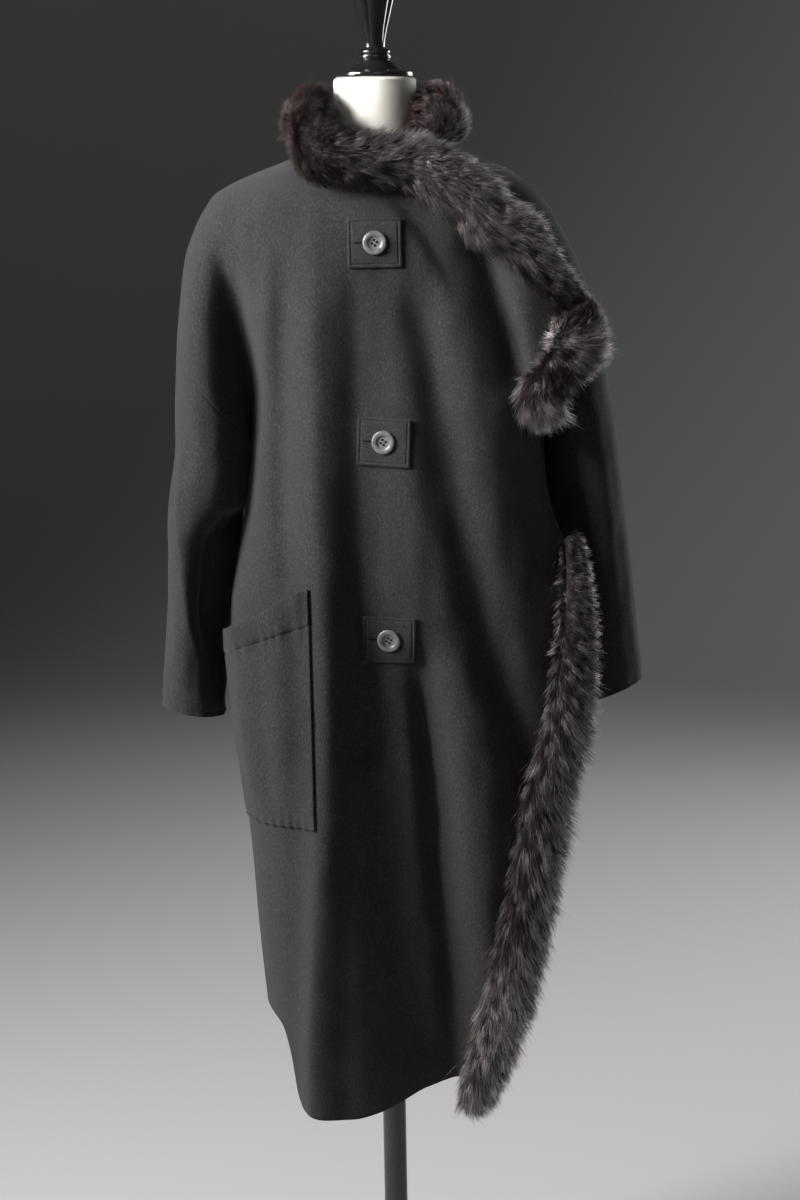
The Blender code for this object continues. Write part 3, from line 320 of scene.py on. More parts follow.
# Slow waves of the cloth. Each is the product of two sines with a share of WAVE_DEPTH: what each sine takes
# from x and from z, and where it starts.
WAVE_DEPTH = 0.0008
WAVES = (
    (1.0, (61, 23, 0.4), (-9, 17, 1.1)),
    (0.7, (103, -31, 2.0), (21, 29, 0.0)),
    (0.5, (171, 47, 0.7), (-33, 53, 2.6)),
)

# A sleeve: its rows as shares of its length, closer at the cuff, and its columns by degrees.
SLEEVE_SHARES = np.append(np.linspace(0.0, 0.965, 74), np.linspace(0.971, 1.0, 7))
SLEEVE_COLUMNS = 73
INSEAM = 141.0  # degrees round a sleeve to its inner seam
INSEAM_REACH = 4.0  # degrees each side of it with closer columns
INSEAM_DEGREES = 1000  # round the arm for a metre of the seam's groove
WAVE_DEGREES = 900  # round the arm for a metre of the slow waves
SLEEVE_CLOSING = 8  # how soon the waves start from 0 degrees, where they would not meet
SLEEVE_SLANT = 0.06  # how much shorter a sleeve is at its middle than from the seam's top
SLEEVE_SEAM_WIDE = 0.003  # of the hollow along the armhole seam
SLEEVE_SWELL = 0.0004  # of the seam's edges pressed into the sleeve, which lie SWELL_BELOW the seam
SWELL_BELOW = 0.007
SWELL_WIDE = 0.004
Cuff = namedtuple("Cuff", "outer inner")  # heights of its outer and inner side
CUFF_RIGHT = Cuff(0.822, 0.809)
CUFF_LEFT = Cuff(0.846, 0.815)
CUFF_STITCH = 0.0055  # above the edge of a cuff

# Sewing: a line of stitches lies in a groove. STITCH_BARS says where along its pitch a stitch comes out,
# lies and goes in again, and how far above the groove it is there.
GROOVE_DEPTH = 0.0009
GROOVE_WIDE = 0.0011
STITCH_PITCH = 0.0030
STITCH_RADIUS = 0.00028
STITCH_BARS = ((0.16, -0.0003), (0.50, 0.0002), (0.84, -0.0003))
STITCH_LINE_STEPS = 100  # in which a line of stitches is measured
THREAD_SIDES = 5
THREAD_RINGS = (0.15, 0.50, 0.85)  # shares of a bar of thread at which it has its sections

# The pocket: where its sides are, then how far its middle, its upper left corner, its mouth and the folds
# on it stand off the front.
POCKET_LEFT_IN = 0.003  # from the side seam
POCKET_RIGHT = -0.086
POCKET_BOTTOM_LEFT = 0.690
POCKET_BOTTOM_RIGHT = 0.694
POCKET_BAND_LEFT = 0.889
POCKET_BAND_RIGHT = 0.941
POCKET_TOP_LEFT = 0.920
POCKET_TOP_RIGHT = 0.985
POCKET_STAND = 0.0065
POCKET_CORNER = 0.0060
POCKET_MOUTH = 0.0065
POCKET_RIDGE = 0.0028
POCKET_WALL = 0.0028
POCKET_CLEAR = 0.0008
POCKET_BAND = 0.86  # the share of its height below its band
POCKET_DOUBLED = 0.0008  # how far the doubled cloth of the band stands off
POCKET_EDGE_STITCH = 0.004  # above its lower edge
POCKET_EDGE_SHARE = 0.018  # the same as a share of its height
POCKET_COLUMNS = 40
POCKET_ROWS = 62
POCKET_LINE_REACH = 0.011  # share of its height each side of a line of stitches with closer rows
BAND_BOW = 0.8  # 1 for a straight line of stitches, less where it bows up
PUCKER = 0.0016  # of cloth gathered by a line of stitches
PUCKER_PITCH = 0.013
PUCKER_DRIFT = 3.3  # how much longer the wave is that sets the puckers unevenly
PUCKER_REACH = 0.008  # up and down from the band's stitches
TUCK_REACH = 0.010  # up from the lower edge

# A button tab: its middle and how many degrees it leans. It is clear of the front by TAB_CLEAR, and its
# right and lower sides by TAB_LIFT more.
Tab = namedtuple("Tab", "x z lean")
TABS = (Tab(-0.003, 1.381, 0.0), Tab(0.003, 1.153, 3.0), Tab(0.005, 0.921, 1.5))
TAB_CLEAR = 0.0008
TAB_WIDE = 0.062
TAB_TALL = 0.056
TAB_THICK = 0.0024
TAB_LIFT = 0.0006
TAB_STIFF = 0.25  # 0 follows each fold of the front, 1 bridges them
TAB_SEWN = 0.0040  # its line of stitches, in from its edges
TAB_EDGE = 0.0009  # how much lower it is outside that line
BUTTONHOLE = (-0.0245, -0.0125)  # its ends, from the middle of a tab
BUTTONHOLE_DEPTH = 0.0020
BUTTONHOLE_WIDE = 0.0007
BUTTONHOLE_EASE = 0.002  # over which it sinks from each end
TAB_COLUMNS = 21
TAB_ROWS = 15
TAB_LINE_REACH = 0.002  # each side of a line of stitches, with closer rows

# The thread of a buttonhole: short stitches across its two lips, from these heights up, and long ones
# along it. The long black ones lie close along the slot as painted shade, so that it reads as a dark line.
PURLS = (-0.0013, 0.0002)
PURL_LONG = 0.0012
PURL_STAND = 0.0005
PURL_PITCH = 0.0009
SLOT_SHADE_GIMPS = (-0.0005, 0.0, 0.0005)
GIMP_PITCH = 0.0016

# A button: its outline as radius and height, from the foot of its dish out round the rim to its underside,
# then its four holes and the strands of thread between them.
BUTTON_RIM = (
    (0.0064, 0.0014), (0.0070, 0.0015), (0.0074, 0.0020), (0.0078, 0.0028), (0.0085, 0.0033),
    (0.0098, 0.0036), (0.0112, 0.0038), (0.0124, 0.0037), (0.0132, 0.0033), (0.0137, 0.0026),
    (0.0138, 0.0019), (0.0135, 0.0010), (0.0126, 0.0004), (0.0110, 0.0000), (0.0000, 0.0000),
)
BUTTON_CLEAR = 0.0004
BUTTON_SHARP = math.radians(40)
BUTTON_SIDES = 64
HOLE_RADIUS = 0.00145
HOLE_PITCH = 0.0031  # from the button's middle
HOLE_DEPTH = 0.0012
HOLE_SIDES = 16
HOLE_TURN = 12  # degrees that a button is turned by
STRAND_UP = 0.0004  # a strand's middle above the dish
STRAND_DOWN = 0.0006  # its ends below it

# A stretch of fur: its middle line, whole width and how far it stands off, then how its hair lies. comb
# is the hair's direction in degrees from the way the stretch runs, less towards its upper or outer edge;
# fan is how much that opens from edge to edge, lift how steeply the hair leaves the skin, and long its
# length. dark is the share of brown hair.
Fur = namedtuple("Fur", "x z width thick comb fan lift long dark")
FUR_UPPER = (
    Fur(-0.056, 1.487, 0.074, 0.044, -10, 50, 46, 0.024, 0.85),
    Fur(-0.026, 1.479, 0.062, 0.042, -12, 50, 44, 0.025, 0.50),
    Fur(0.008, 1.474, 0.060, 0.042, -14, 48, 40, 0.026, 0.30),
    Fur(0.039, 1.461, 0.064, 0.042, -15, 45, 38, 0.027, 0.20),
    Fur(0.069, 1.444, 0.068, 0.042, -16, 42, 36, 0.028, 0.20),
    Fur(0.099, 1.423, 0.068, 0.042, -18, 38, 36, 0.028, 0.20),
    Fur(0.129, 1.400, 0.066, 0.040, -22, 34, 36, 0.028, 0.20),
    Fur(0.154, 1.376, 0.058, 0.036, -28, 30, 36, 0.026, 0.25),
    Fur(0.176, 1.349, 0.046, 0.032, -36, 26, 34, 0.022, 0.35),
    Fur(0.201, 1.322, 0.036, 0.028, -44, 22, 34, 0.018, 0.60),
    Fur(0.218, 1.302, 0.034, 0.026, -70, 20, 34, 0.018, 0.90),
)
# The brown hair of the turned band is partly the fur's own colour and partly painted shade where the band
# folds back.
FUR_TURNED = (
    Fur(0.222, 1.286, 0.044, 0.032, -140, 25, 36, 0.024, 0.95),
    Fur(0.221, 1.263, 0.058, 0.038, -122, 25, 36, 0.027, 0.25),
    Fur(0.208, 1.243, 0.050, 0.032, -98, 22, 34, 0.025, 0.45),
    Fur(0.196, 1.230, 0.044, 0.026, -70, 20, 30, 0.023, 0.85),
    Fur(0.183, 1.215, 0.050, 0.034, -42, 18, 34, 0.027, 0.30),
    Fur(0.177, 1.197, 0.046, 0.034, -24, 18, 32, 0.027, 0.15),
    Fur(0.176, 1.183, 0.028, 0.024, -12, 15, 30, 0.024, 0.00),
)
FUR_LOWER = (
    Fur(0.219, 1.036, 0.020, 0.016, -70, 15, 34, 0.014, 0.50),
    Fur(0.222, 1.010, 0.026, 0.022, -76, 15, 34, 0.016, 0.45),
    Fur(0.219, 0.960, 0.034, 0.028, -80, 15, 34, 0.019, 0.40),
    Fur(0.217, 0.910, 0.042, 0.032, -74, 16, 34, 0.022, 0.40),
    Fur(0.212, 0.860, 0.050, 0.036, -56, 18, 34, 0.025, 0.35),
    Fur(0.203, 0.800, 0.054, 0.038, -45, 20, 34, 0.027, 0.30),
    Fur(0.189, 0.745, 0.056, 0.038, -42, 20, 32, 0.029, 0.35),
    Fur(0.176, 0.690, 0.057, 0.038, -38, 18, 32, 0.029, 0.35),
    Fur(0.161, 0.610, 0.056, 0.038, -36, 16, 32, 0.029, 0.40),
    Fur(0.147, 0.545, 0.058, 0.038, -36, 16, 32, 0.030, 0.30),
    Fur(0.136, 0.490, 0.058, 0.038, -34, 16, 32, 0.030, 0.10),
    Fur(0.122, 0.420, 0.052, 0.036, -34, 16, 32, 0.029, 0.15),
    Fur(0.111, 0.360, 0.042, 0.032, -30, 15, 30, 0.027, 0.15),
    Fur(0.106, 0.334, 0.028, 0.020, -26, 12, 26, 0.024, 0.20),
)
FRONT_FUR_CLEAR = 0.0063  # between the front and the back of the fur on it
EDGE_FUR_CLEAR = 0.003  # the same for the narrower fur down the edge
FUR_SLOPE = 0.35  # the steepest that fur lies back with the shoulder
FUR_SKIN = 0.66  # the skin's share of the fur's reach
FUR_END = 0.01  # the share that a rounded end keeps, so that it isn't a point
SKIN_PITCH = 0.004
SKIN_ROWS = 12  # at the least
SKIN_COLUMNS = 41
SOWN_ROWS = 120  # cells of skin that hairs are shared out to
SOWN_COLUMNS = 40
HAIR_RADIUS = 0.00020
HAIR_WIDEST = 0.45  # the share of its length at which a hair is widest
HAIR_DROOP = 0.0015  # of its tip
COMB_WAVES = 16  # degrees that the hair's direction wanders, and that a hair strays from it
COMB_STRAY = 12.0
LIFT_WAVES = 9  # the same for how steeply it stands
LIFT_STRAY = 12.0
LIFT_LIMITS = (8, 80)
ROOT_LIFT = 1.2  # the lift of a hair's lower part, as a share of its own
TIP_LIFT = 0.5  # the same for its upper part
LONG_STRAY = (0.62, 1.25)  # of the length in the table
GUARD_HAIRS = 0.02  # share of hairs that are GUARD_LONGER times as long
GUARD_LONGER = 1.5
LOCK_HAIRS = 20
LOCK_PULL = 0.75  # how far hairs are drawn together at their tips
LOCK_LEAST = 0.2  # the least share of that
LOCK_MIDDLE = 0.4  # its share at their middles
LOOSE_HAIRS = 0.05  # share of hairs that aren't
INNER_DARK = 0.50  # more brown hair towards the inner or lower edge
SHADE_PATCHES = 0.75  # how far patches of hair differ in shade
SHADE_CONTRAST = 1.6
SHADE_STRAY = 0.22

# How much hair a stretch of fur has, and between which angles round its section.
Growth = namedtuple("Growth", "count low high")
COLLAR_GROWTH = Growth(24000, -125, 215)
UPPER_GROWTH = Growth(31000, -45, 225)
TURNED_GROWTH = Growth(14000, -45, 225)
EDGE_GROWTH = Growth(31000, -45, 225)

# The fur collar: a ring round the neck, from one end under the front fur to the other.
COLLAR_START = -66.0  # degrees round from +X, the end sunk behind the front fur
COLLAR_SINKS = -18.0  # from here to that end
COLLAR_END = 200.0  # where the front fur takes over
COLLAR_ROWS = 19
COLLAR_RADIUS = 0.0790
COLLAR_HALF_THICK = 0.0270
COLLAR_LEAN = 0.0090  # how far its upper half leans in to the neck, and its lower half out
COLLAR_BOTTOM = 1.4846
COLLAR_TOP = 1.562
COLLAR_SUNK = 0.052  # how far its sunk end goes down
COLLAR_NARROWED = 0.35  # the share of its width that it loses there
COLLAR_HAIR = (-50, 70, 58, 0.022)  # its comb, fan, lift and long
COLLAR_DARK = 1.05
COLLAR_DARKER = 0.5  # more brown hair at the sunk end

# Turned outlines, as radius and height: the finial above its block, with a fluted grip. The neck's flare
# has shares of its radius.
FINIAL_FOOT = (
    (0.0440, 0.0000), (0.0458, 0.0010), (0.0462, 0.0030), (0.0455, 0.0052), (0.0430, 0.0066),
    (0.0330, 0.0074), (0.0300, 0.0086), (0.0286, 0.0104), (0.0262, 0.0128), (0.0226, 0.0156),
    (0.0196, 0.0180), (0.0184, 0.0196), (0.0186, 0.0206), (0.0194, 0.0216), (0.0197, 0.0232),
    (0.0194, 0.0250), (0.0184, 0.0258), (0.0178, 0.0264), (0.0184, 0.0272), (0.0191, 0.0284),
    (0.0191, 0.0300), (0.0182, 0.0314), (0.0162, 0.0324), (0.0142, 0.0334), (0.0130, 0.0346),
)
FINIAL_GRIP = (
    (0.0129, 0.0380), (0.0135, 0.0430), (0.0160, 0.0550), (0.0198, 0.0700), (0.0240, 0.0860),
    (0.0275, 0.1010), (0.0292, 0.1150), (0.0288, 0.1280), (0.0262, 0.1400), (0.0215, 0.1470),
    (0.0150, 0.1510), (0.0080, 0.1526), (0.0000, 0.1530),
)
FLUTES = 10
FLUTE_DEPTH = 0.09  # of the grip's radius
FLUTE_FADE = 0.012  # the length over which the flutes start and end
FLUTE_NARROW = 0.8  # less for a narrower flute
FLUTE_SIDES = 16  # for each flute
NECK_RADIUS = 0.0486
NECK_TOP = 1.569
NECK_FLARE = ((1.12, 0.0), (1.06, 0.010), (1.01, 0.022), (1.00, 0.032))
NECK_ROUNDED = 0.0045
POLE_RADIUS = 0.0145
BASE_RADIUS = 0.190
BASE_THICK = 0.012
SOCKET_RADIUS = 0.024
SOCKET_TOP = 0.070
SOCKET_FILLET = ((0.006, 0.0), (0.002, 0.002), (0.0, 0.006))  # out from the socket and up from the foot
BASE_ROUNDED = 0.004
BASE_UNDER_ROUNDED = 0.002
BASE_SIDES = 160
SOCKET_ROUNDED = 0.002
TURNED_SIDES = 96
TURNED_SHARP = math.radians(35)
SOLID_MERGE = 1e-5  # for the loose triangles of a CAD solid
FLAT_ANGLE = math.radians(0.5)


# ---------------------------------------------------------------- reading the tables
def smooth_through(places, values, at):
    """Values at the places asked for, on a curve through the rows that never overshoots them."""
    places = np.asarray(places, float)
    values = np.asarray(values, float)
    order = np.argsort(places)
    places, values = places[order], values[order]
    steps = np.diff(places)
    slopes = np.diff(values) / steps
    tangents = np.zeros_like(values)
    both = slopes[:-1] * slopes[1:] > 0
    mean = 2.0 / (1.0 / np.where(both, slopes[:-1], 1.0) + 1.0 / np.where(both, slopes[1:], 1.0))
    tangents[1:-1] = np.where(both, mean, 0.0)
    tangents[0], tangents[-1] = slopes[0], slopes[-1]
    at = np.clip(np.asarray(at, float), places[0], places[-1])
    k = np.clip(np.searchsorted(places, at) - 1, 0, len(steps) - 1)
    s = (at - places[k]) / steps[k]
    near = values[k] * (1 + 2 * s) * (1 - s) ** 2 + values[k + 1] * s * s * (3 - 2 * s)
    return near + steps[k] * (tangents[k] * s * (1 - s) ** 2 - tangents[k + 1] * s * s * (1 - s))


def read(table, column, at):
    """A named column of a table at heights (or, for a hem, at x)."""
    key = table[0]._fields[0]
    return smooth_through([getattr(row, key) for row in table], [getattr(row, column) for row in table], at)


def soft_step(value):
    """0 up to 0, 1 from 1, and a smooth rise between."""
    value = np.clip(value, 0.0, 1.0)
    return value * value * (3 - 2 * value)


# ---------------------------------------------------------------- depths of the cloth
def rounded_depth(x, low, high, depth, square):
    """The depth at x of a section between two sides."""
    off = np.clip(np.abs(2 * x - low - high) / (high - low), 0.0, 1.0)
    return depth * (1 - off**square) ** (1 / square)


def joined(*depths):
    """The outer of several depths, with soft valleys between them."""
    return sum(depth**ARM_BLEND for depth in depths) ** (1 / ARM_BLEND)


def eased(value, zero_at, one_at):
    """0 at and beyond one place, 1 at and beyond the other, and a soft step between them."""
    return soft_step((value - zero_at) / (one_at - zero_at))


def arm_depth(x, z, arm, column):
    """The depth of an arm and of the cloth that spans from it to the body."""
    middle, half = read(arm, "middle", z), read(arm, "half", z)
    inner = middle - math.copysign(1.0, arm[0].middle) * half
    depth = joined(
        rounded_depth(x, middle - half, middle + half, read(arm, column, z), 2.0),
        rounded_depth(x, inner - half, inner + half, read(arm, "valley", z), 2.0),
    )
    return np.where(z > ARM_APART, depth, 0.0)


def creased(place, z, creases):
    """What the creases add to a depth, at places across and heights."""
    total = 0.0
    for crease in creases:
        heights, middles, shares = zip(*crease.route)
        off = place - smooth_through(heights, middles, z)
        wide = np.where(off < 0, crease.left_wide, crease.right_wide)
        beyond = np.maximum(np.maximum(z - max(heights), min(heights) - z), 0.0)
        strength = smooth_through(heights, shares, z) * (1 - soft_step(beyond / crease.fade))
        total = total + crease.depth * strength * np.exp(-np.abs(off / wide) ** crease.soft)
    return total


def unevenness(x, z):
    """Slow, shallow waves that no hanging cloth is without."""
    total = 0.0
    for share, (first_x, first_z, first), (second_x, second_z, second) in WAVES:
        total = total + (share * np.sin(first_x * x + first_z * z + first)
                         * np.sin(second_x * x + second_z * z + second))
    return WAVE_DEPTH * total


def armhole_height(cosine):
    """The armhole seam's height, by the cosine of the angle round the arm from its outer side."""
    return ARMHOLE_TOP - (ARMHOLE_TOP - ARMPIT) * (1 - cosine) / 2


def above_armhole(x, z, arm):
    """From 0 at the armhole seam to 1 clear of it."""
    middle = read(arm, "middle", z)
    outer_side = np.sign(np.abs(x) - np.abs(middle))
    cosine = np.abs(x - middle) / read(arm, "half", z) * outer_side
    seam = armhole_height(np.clip(cosine, -1.0, 1.0))
    return np.where((cosine < -1) | (z < ARMPIT), 1.0, soft_step((z - seam) / ARMHOLE_FREE))


def wide_front(x, z, creases=FRONT_CREASES):
    """The wearer's right front, which wraps across."""
    left, wrap, depth = (read(BODY, name, z) for name in ("left", "wrap", "front"))
    plain = joined(rounded_depth(x, left, wrap, depth, SQUARE), arm_depth(x, z, ARM_RIGHT, "front"))
    free = soft_step(plain / FRONT_FREE) * np.where(x < 0, above_armhole(x, z, ARM_RIGHT), 1.0)
    return plain + (creased(x, z, creases) + unevenness(x, z)) * free


def under_front(x, z):
    """The wearer's left front, inside the other."""
    left, right = read(BODY, "left", z), read(BODY, "right", z)
    depth = read(BODY, "front", z) - read(BODY, "inset", z)
    return joined(rounded_depth(x, left, right, depth, SQUARE), arm_depth(x, z, ARM_LEFT, "front"))


def back_depth(x, z):
    """The back, behind both arms."""
    left, right, depth = (read(BODY, name, z) for name in ("left", "right", "back"))
    plain = joined(
        rounded_depth(x, left, right, depth, SQUARE),
        arm_depth(x, z, ARM_RIGHT, "back"),
        arm_depth(x, z, ARM_LEFT, "back"),
    )
    return plain + (creased(x, z, BACK_CREASES) + unevenness(x, z)) * soft_step(plain / BACK_FREE)


# ---------------------------------------------------------------- where the panels end
def outline(z, arm, body_side, turn):
    """x of the coat's silhouette: the arm's outer side above the armpit, the side seam below it."""
    arm_side = read(arm, "middle", z) + turn * read(arm, "half", z)
    body = read(BODY, body_side, z)
    with_arm = np.where(turn * arm_side > turn * body, arm_side, body)
    return np.where(z > ARM_APART, with_arm, body)


def armhole_angle(z):
    """How far round the arm, from its outer side, the armhole seam has come at a height."""
    return np.arccos(np.clip(1 - 2 * (ARMHOLE_TOP - z) / (ARMHOLE_TOP - ARMPIT), -1.0, 1.0))


def panel_side(z, arm, body_side, turn):
    """x where a front or the back ends at the side: silhouette, armhole seam, then side seam."""
    seam = read(arm, "middle", z) + turn * read(arm, "half", z) * np.cos(armhole_angle(z))
    beside_armhole = (z < ARMHOLE_TOP) & (z > ARM_APART)
    return np.where(beside_armhole, seam, outline(z, arm, body_side, turn))


def panel_heights():
    """The rows of the body's panels, evenly round the armholes."""
    top, bottom = BODY[0].z, BODY[-1].z
    above = np.linspace(top, ARMHOLE_TOP, round((top - ARMHOLE_TOP) / ROW_PITCH), endpoint=False)
    beside = armhole_height(np.cos(np.linspace(0.0, math.pi, ARMHOLE_ROWS, endpoint=False)))
    below = np.linspace(ARMPIT, bottom, round((ARMPIT - bottom) / ROW_PITCH))
    return np.concatenate([above, beside, below])


def hem_eased(level, x, hem):
    """A row's height at x: level above, following the hem below."""
    lowest = BODY[-1].z
    share = np.clip((HEM_EASE_FROM - level) / (HEM_EASE_FROM - lowest), 0.0, 1.0)
    return np.where(share > 0, HEM_EASE_FROM - share * (HEM_EASE_FROM - read(hem, "z", x)), level)


def crowded(count):
    """Shares of a row for its columns, crowded towards the side where the cloth turns."""
    t = np.linspace(0.0, 1.0, count)
    start = t * t / (2 * SIDE_RAMP)
    return np.where(t < SIDE_RAMP, start, t - SIDE_RAMP / 2) / (1 - SIDE_RAMP / 2)


# ---------------------------------------------------------------- points and outward directions
def surface(depth, facing, x, z, side, turn):
    """Points on a depth surface and their outward directions, taken just inside its silhouette side(z)."""
    step = 1e-4
    near = turn * np.minimum(turn * x, turn * side(z) - 3 * step)
    level = np.clip(z, BODY[-1].z + step, BODY[0].z - step)
    slope_x = (depth(near + step, level) - depth(near - step, level)) / (2 * step)
    slope_z = (depth(near, level + step) - depth(near, level - step)) / (2 * step)
    reach = depth(x, z)
    outward = np.stack([-slope_x, np.where(reach > step, facing, 0.0), -slope_z], axis=-1)
    outward /= np.linalg.norm(outward, axis=-1, keepdims=True)
    return np.stack([x, facing * reach, z], axis=-1), outward


def silhouette(arm, body_side, turn):
    """x of one side's silhouette, as a function of the height alone."""
    def side(z):
        return outline(z, arm, body_side, turn)

    return side


RIGHT_SIDE = silhouette(ARM_RIGHT, "left", -1)
LEFT_SIDE = silhouette(ARM_LEFT, "right", 1)


def front_surface(x, z):
    """Points on the wide front and their outward directions."""
    return surface(wide_front, -1, x, z, RIGHT_SIDE, -1)


# ---------------------------------------------------------------- making pieces
def linked(name, data):
    """A new object in the scene."""
    made = bpy.data.objects.new(name, data)
    bpy.context.scene.collection.objects.link(made)
    return made


def add_piece(name, bm, finish):
    """A piece of a mesh, shaded smooth, in one finish."""
    mesh = bpy.data.meshes.new(name)
    bm.to_mesh(mesh)
    bm.free()
    mesh.materials.append(finish)
    mesh.shade_smooth()
    return linked(name, mesh)


def settle(piece, slot, *nodes):
    """The piece rides on the one body and stands for the CAD nodes, which it hides; slot is not used."""
    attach(piece, "root")
    if nodes:
        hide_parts(*nodes)
    return piece


def grid(points):
    """A mesh on a grid of points, rows by columns."""
    rows, columns = points.shape[:2]
    bm = bmesh.new()
    bmesh.ops.create_grid(bm, x_segments=columns - 1, y_segments=rows - 1, size=1.0)
    for vert, point in zip(bm.verts, points.reshape(-1, 3)):
        vert.co = point
    return bm


def spun(outline_points, sides):
    """A mesh turned round the Z axis from an outline of radius and height."""
    bm = bmesh.new()
    verts = [bm.verts.new((radius, 0.0, z)) for radius, z in outline_points]
    edges = [bm.edges.new(pair) for pair in zip(verts, verts[1:])]
    bmesh.ops.spin(bm, geom=verts + edges, axis=(0, 0, 1), cent=(0, 0, 0), steps=sides,
                   angle=2 * math.pi, use_merge=True)
    bmesh.ops.remove_doubles(bm, verts=bm.verts[:], dist=MERGE)
    return bm


def shell(name, points, finish, thick, outwards=None, tube=False):
    """A cloth shell on a grid of points, rows by columns, with its wall inside it.

    outwards is the way that it faces. A tube's last column meets its first, and it faces away from its axis.
    """
    bm = grid(points)
    if tube:
        bmesh.ops.remove_doubles(bm, verts=bm.verts[:], dist=MERGE)
    bm.normal_update()
    middle = Vector(points.reshape(-1, 3).mean(axis=0))
    facing = 0.0
    for face in bm.faces:
        away = (face.calc_center_median() - middle).xy if tube else Vector(outwards).xy
        facing += face.normal.xy.dot(away)
    if facing < 0:
        bmesh.ops.reverse_faces(bm, faces=bm.faces[:])
    made = add_piece(name, bm, finish)
    wall = made.modifiers.new("wall", "SOLIDIFY")
    wall.thickness = thick
    wall.offset = -1.0
    wall.use_quality_normals = True
    rim = made.modifiers.new("worn edge", "BEVEL")
    rim.width = thick * WORN_EDGE
    rim.segments = 2
    rim.limit_method = "ANGLE"
    rim.angle_limit = EDGE_TURN
    return made


def unit(vectors):
    """The same ways, at length 1."""
    return vectors / np.maximum(np.linalg.norm(vectors, axis=-1, keepdims=True), 1e-9)


def lined(low, high, count, lines, reach):
    """Places from low to high, close together round some lines that lie well inside."""
    places = [place for place in np.linspace(low, high, count)
              if all(abs(place - line) > reach for line in lines)]
    for line in lines:
        places += list(line + np.linspace(-reach, reach, LINE_ROWS))
    return np.array(sorted(places))


def groove(distance, wide=GROOVE_WIDE):
    """How far cloth sinks at a distance from a line of stitches."""
    return GROOVE_DEPTH * np.exp(-((distance / wide) ** 2))


def stitched(skin, start, end, pitch=STITCH_PITCH):
    """Stitches along a line between two places of a skin: their starts, middles and ends, and outwards."""
    start, end = np.array(start), np.array(end)

    def places(share):
        return (start + (end - start) * share[:, None]).T

    line = skin(*places(np.linspace(0.0, 1.0, STITCH_LINE_STEPS)))[0]
    count = max(int(np.linalg.norm(np.diff(line, axis=0), axis=1).sum() / pitch), 1)
    rows = []
    for way, height in STITCH_BARS:
        points, outward = skin(*places((np.arange(count) + way) / count))
        rows.append(points + outward * height)
    return np.stack(rows, axis=1), outward


def thread_mesh(name, bars, outward, finish):
    """Bars of thread as one mesh. Each is bent through three points and pointed at both ends."""
    sides = THREAD_SIDES
    first, middle, last = bars[:, 0], bars[:, 1], bars[:, 2]
    pull = 2 * middle - (first + last) / 2
    side = unit(np.cross(last - first, outward))
    over = unit(np.cross(side, last - first))
    verts = [first]
    for t in THREAD_RINGS:
        centre = (1 - t) ** 2 * first + 2 * t * (1 - t) * pull + t * t * last
        for k in range(sides):
            turn = 2 * math.pi * k / sides
            verts.append(centre + STITCH_RADIUS * (side * math.cos(turn) + over * math.sin(turn)))
    verts.append(last)
    around = [(k, (k + 1) % sides) for k in range(sides)]
    faces = [(0, 1 + b, 1 + a) for a, b in around]
    for ring in (1, 1 + sides):
        faces += [(ring + a, ring + b, ring + sides + b, ring + sides + a) for a, b in around]
    end = 1 + len(THREAD_RINGS) * sides
    faces += [(end, end - sides + a, end - sides + b) for a, b in around]
    each = len(verts)
    all_faces = [[v + each * n for v in face] for n in range(len(bars)) for face in faces]
    mesh = bpy.data.meshes.new(name)
    mesh.from_pydata(np.stack(verts, axis=1).reshape(-1, 3).tolist(), [], all_faces)
    bm = bmesh.new()
    bm.from_mesh(mesh)
    bmesh.ops.recalc_face_normals(bm, faces=bm.faces[:])
    bpy.data.meshes.remove(mesh)
    return add_piece(name, bm, finish)


# ---------------------------------------------------------------- the cloth
SEWING = []  # lines of stitches, as bars and the ways that they face


def panel_points(depth, facing, start, end, hem, side, turn, shares):
    """A panel's outer points, in rows from start to end."""
    levels = panel_heights()[:, None]
    x = start(levels) + (end(levels) - start(levels)) * shares[None, :]
    z = hem_eased(levels, x, hem)
    x = start(z) + (end(z) - start(z)) * shares[None, :]
    return surface(depth, facing, x, z, side, turn)[0]


def make_wide_front(wool):
    """The wearer's right front, with its edge and neckline."""
    points = panel_points(
        wide_front, -1,
        lambda z: panel_side(z, ARM_RIGHT, "left", -1),
        lambda z: read(RIGHT_FRONT_EDGE, "x", z),
        FRONT_HEM, RIGHT_SIDE, -1, crowded(WIDE_FRONT_COLUMNS),
    )
    points[:, 0, 1] -= SEAM / 2
    piece = settle(shell("coat_front_wide", points, wool, WALL, outwards=(0, -1, 0)), "wool", "front_right")


def make_under_front(wool):
    """The wearer's left front, which lies under the other."""
    points = panel_points(
        under_front, -1,
        lambda z: panel_side(z, ARM_LEFT, "right", 1),
        lambda z: read(LEFT_FRONT_EDGE, "x", z),
        LEFT_HEM, LEFT_SIDE, 1, crowded(UNDER_FRONT_COLUMNS),
    )
    points[:, 0, 1] -= SEAM / 2
    piece = settle(shell("coat_front_under", points, wool, WALL, outwards=(0, -1, 0)), "wool", "front_left")


def make_back(wool):
    """The back, worked as two halves that share their middle column."""
    def middle(z):
        return (read(BODY, "left", z) + read(BODY, "right", z)) / 2

    halves = []
    sides = ((ARM_RIGHT, "left", RIGHT_SIDE, -1), (ARM_LEFT, "right", LEFT_SIDE, 1))
    for arm, body_side, side, turn in sides:
        halves.append(panel_points(
            back_depth, 1,
            lambda z: panel_side(z, arm, body_side, turn),
            middle,
            BACK_HEM, side, turn, crowded(HALF_BACK_COLUMNS),
        ))
    points = np.concatenate([halves[0], halves[1][:, -2::-1]], axis=1)
    points[:, 0, 1] += SEAM / 2
    points[:, -1, 1] += SEAM / 2
    piece = settle(shell("coat_back", points, wool, WALL, outwards=(0, 1, 0)), "wool", "back")


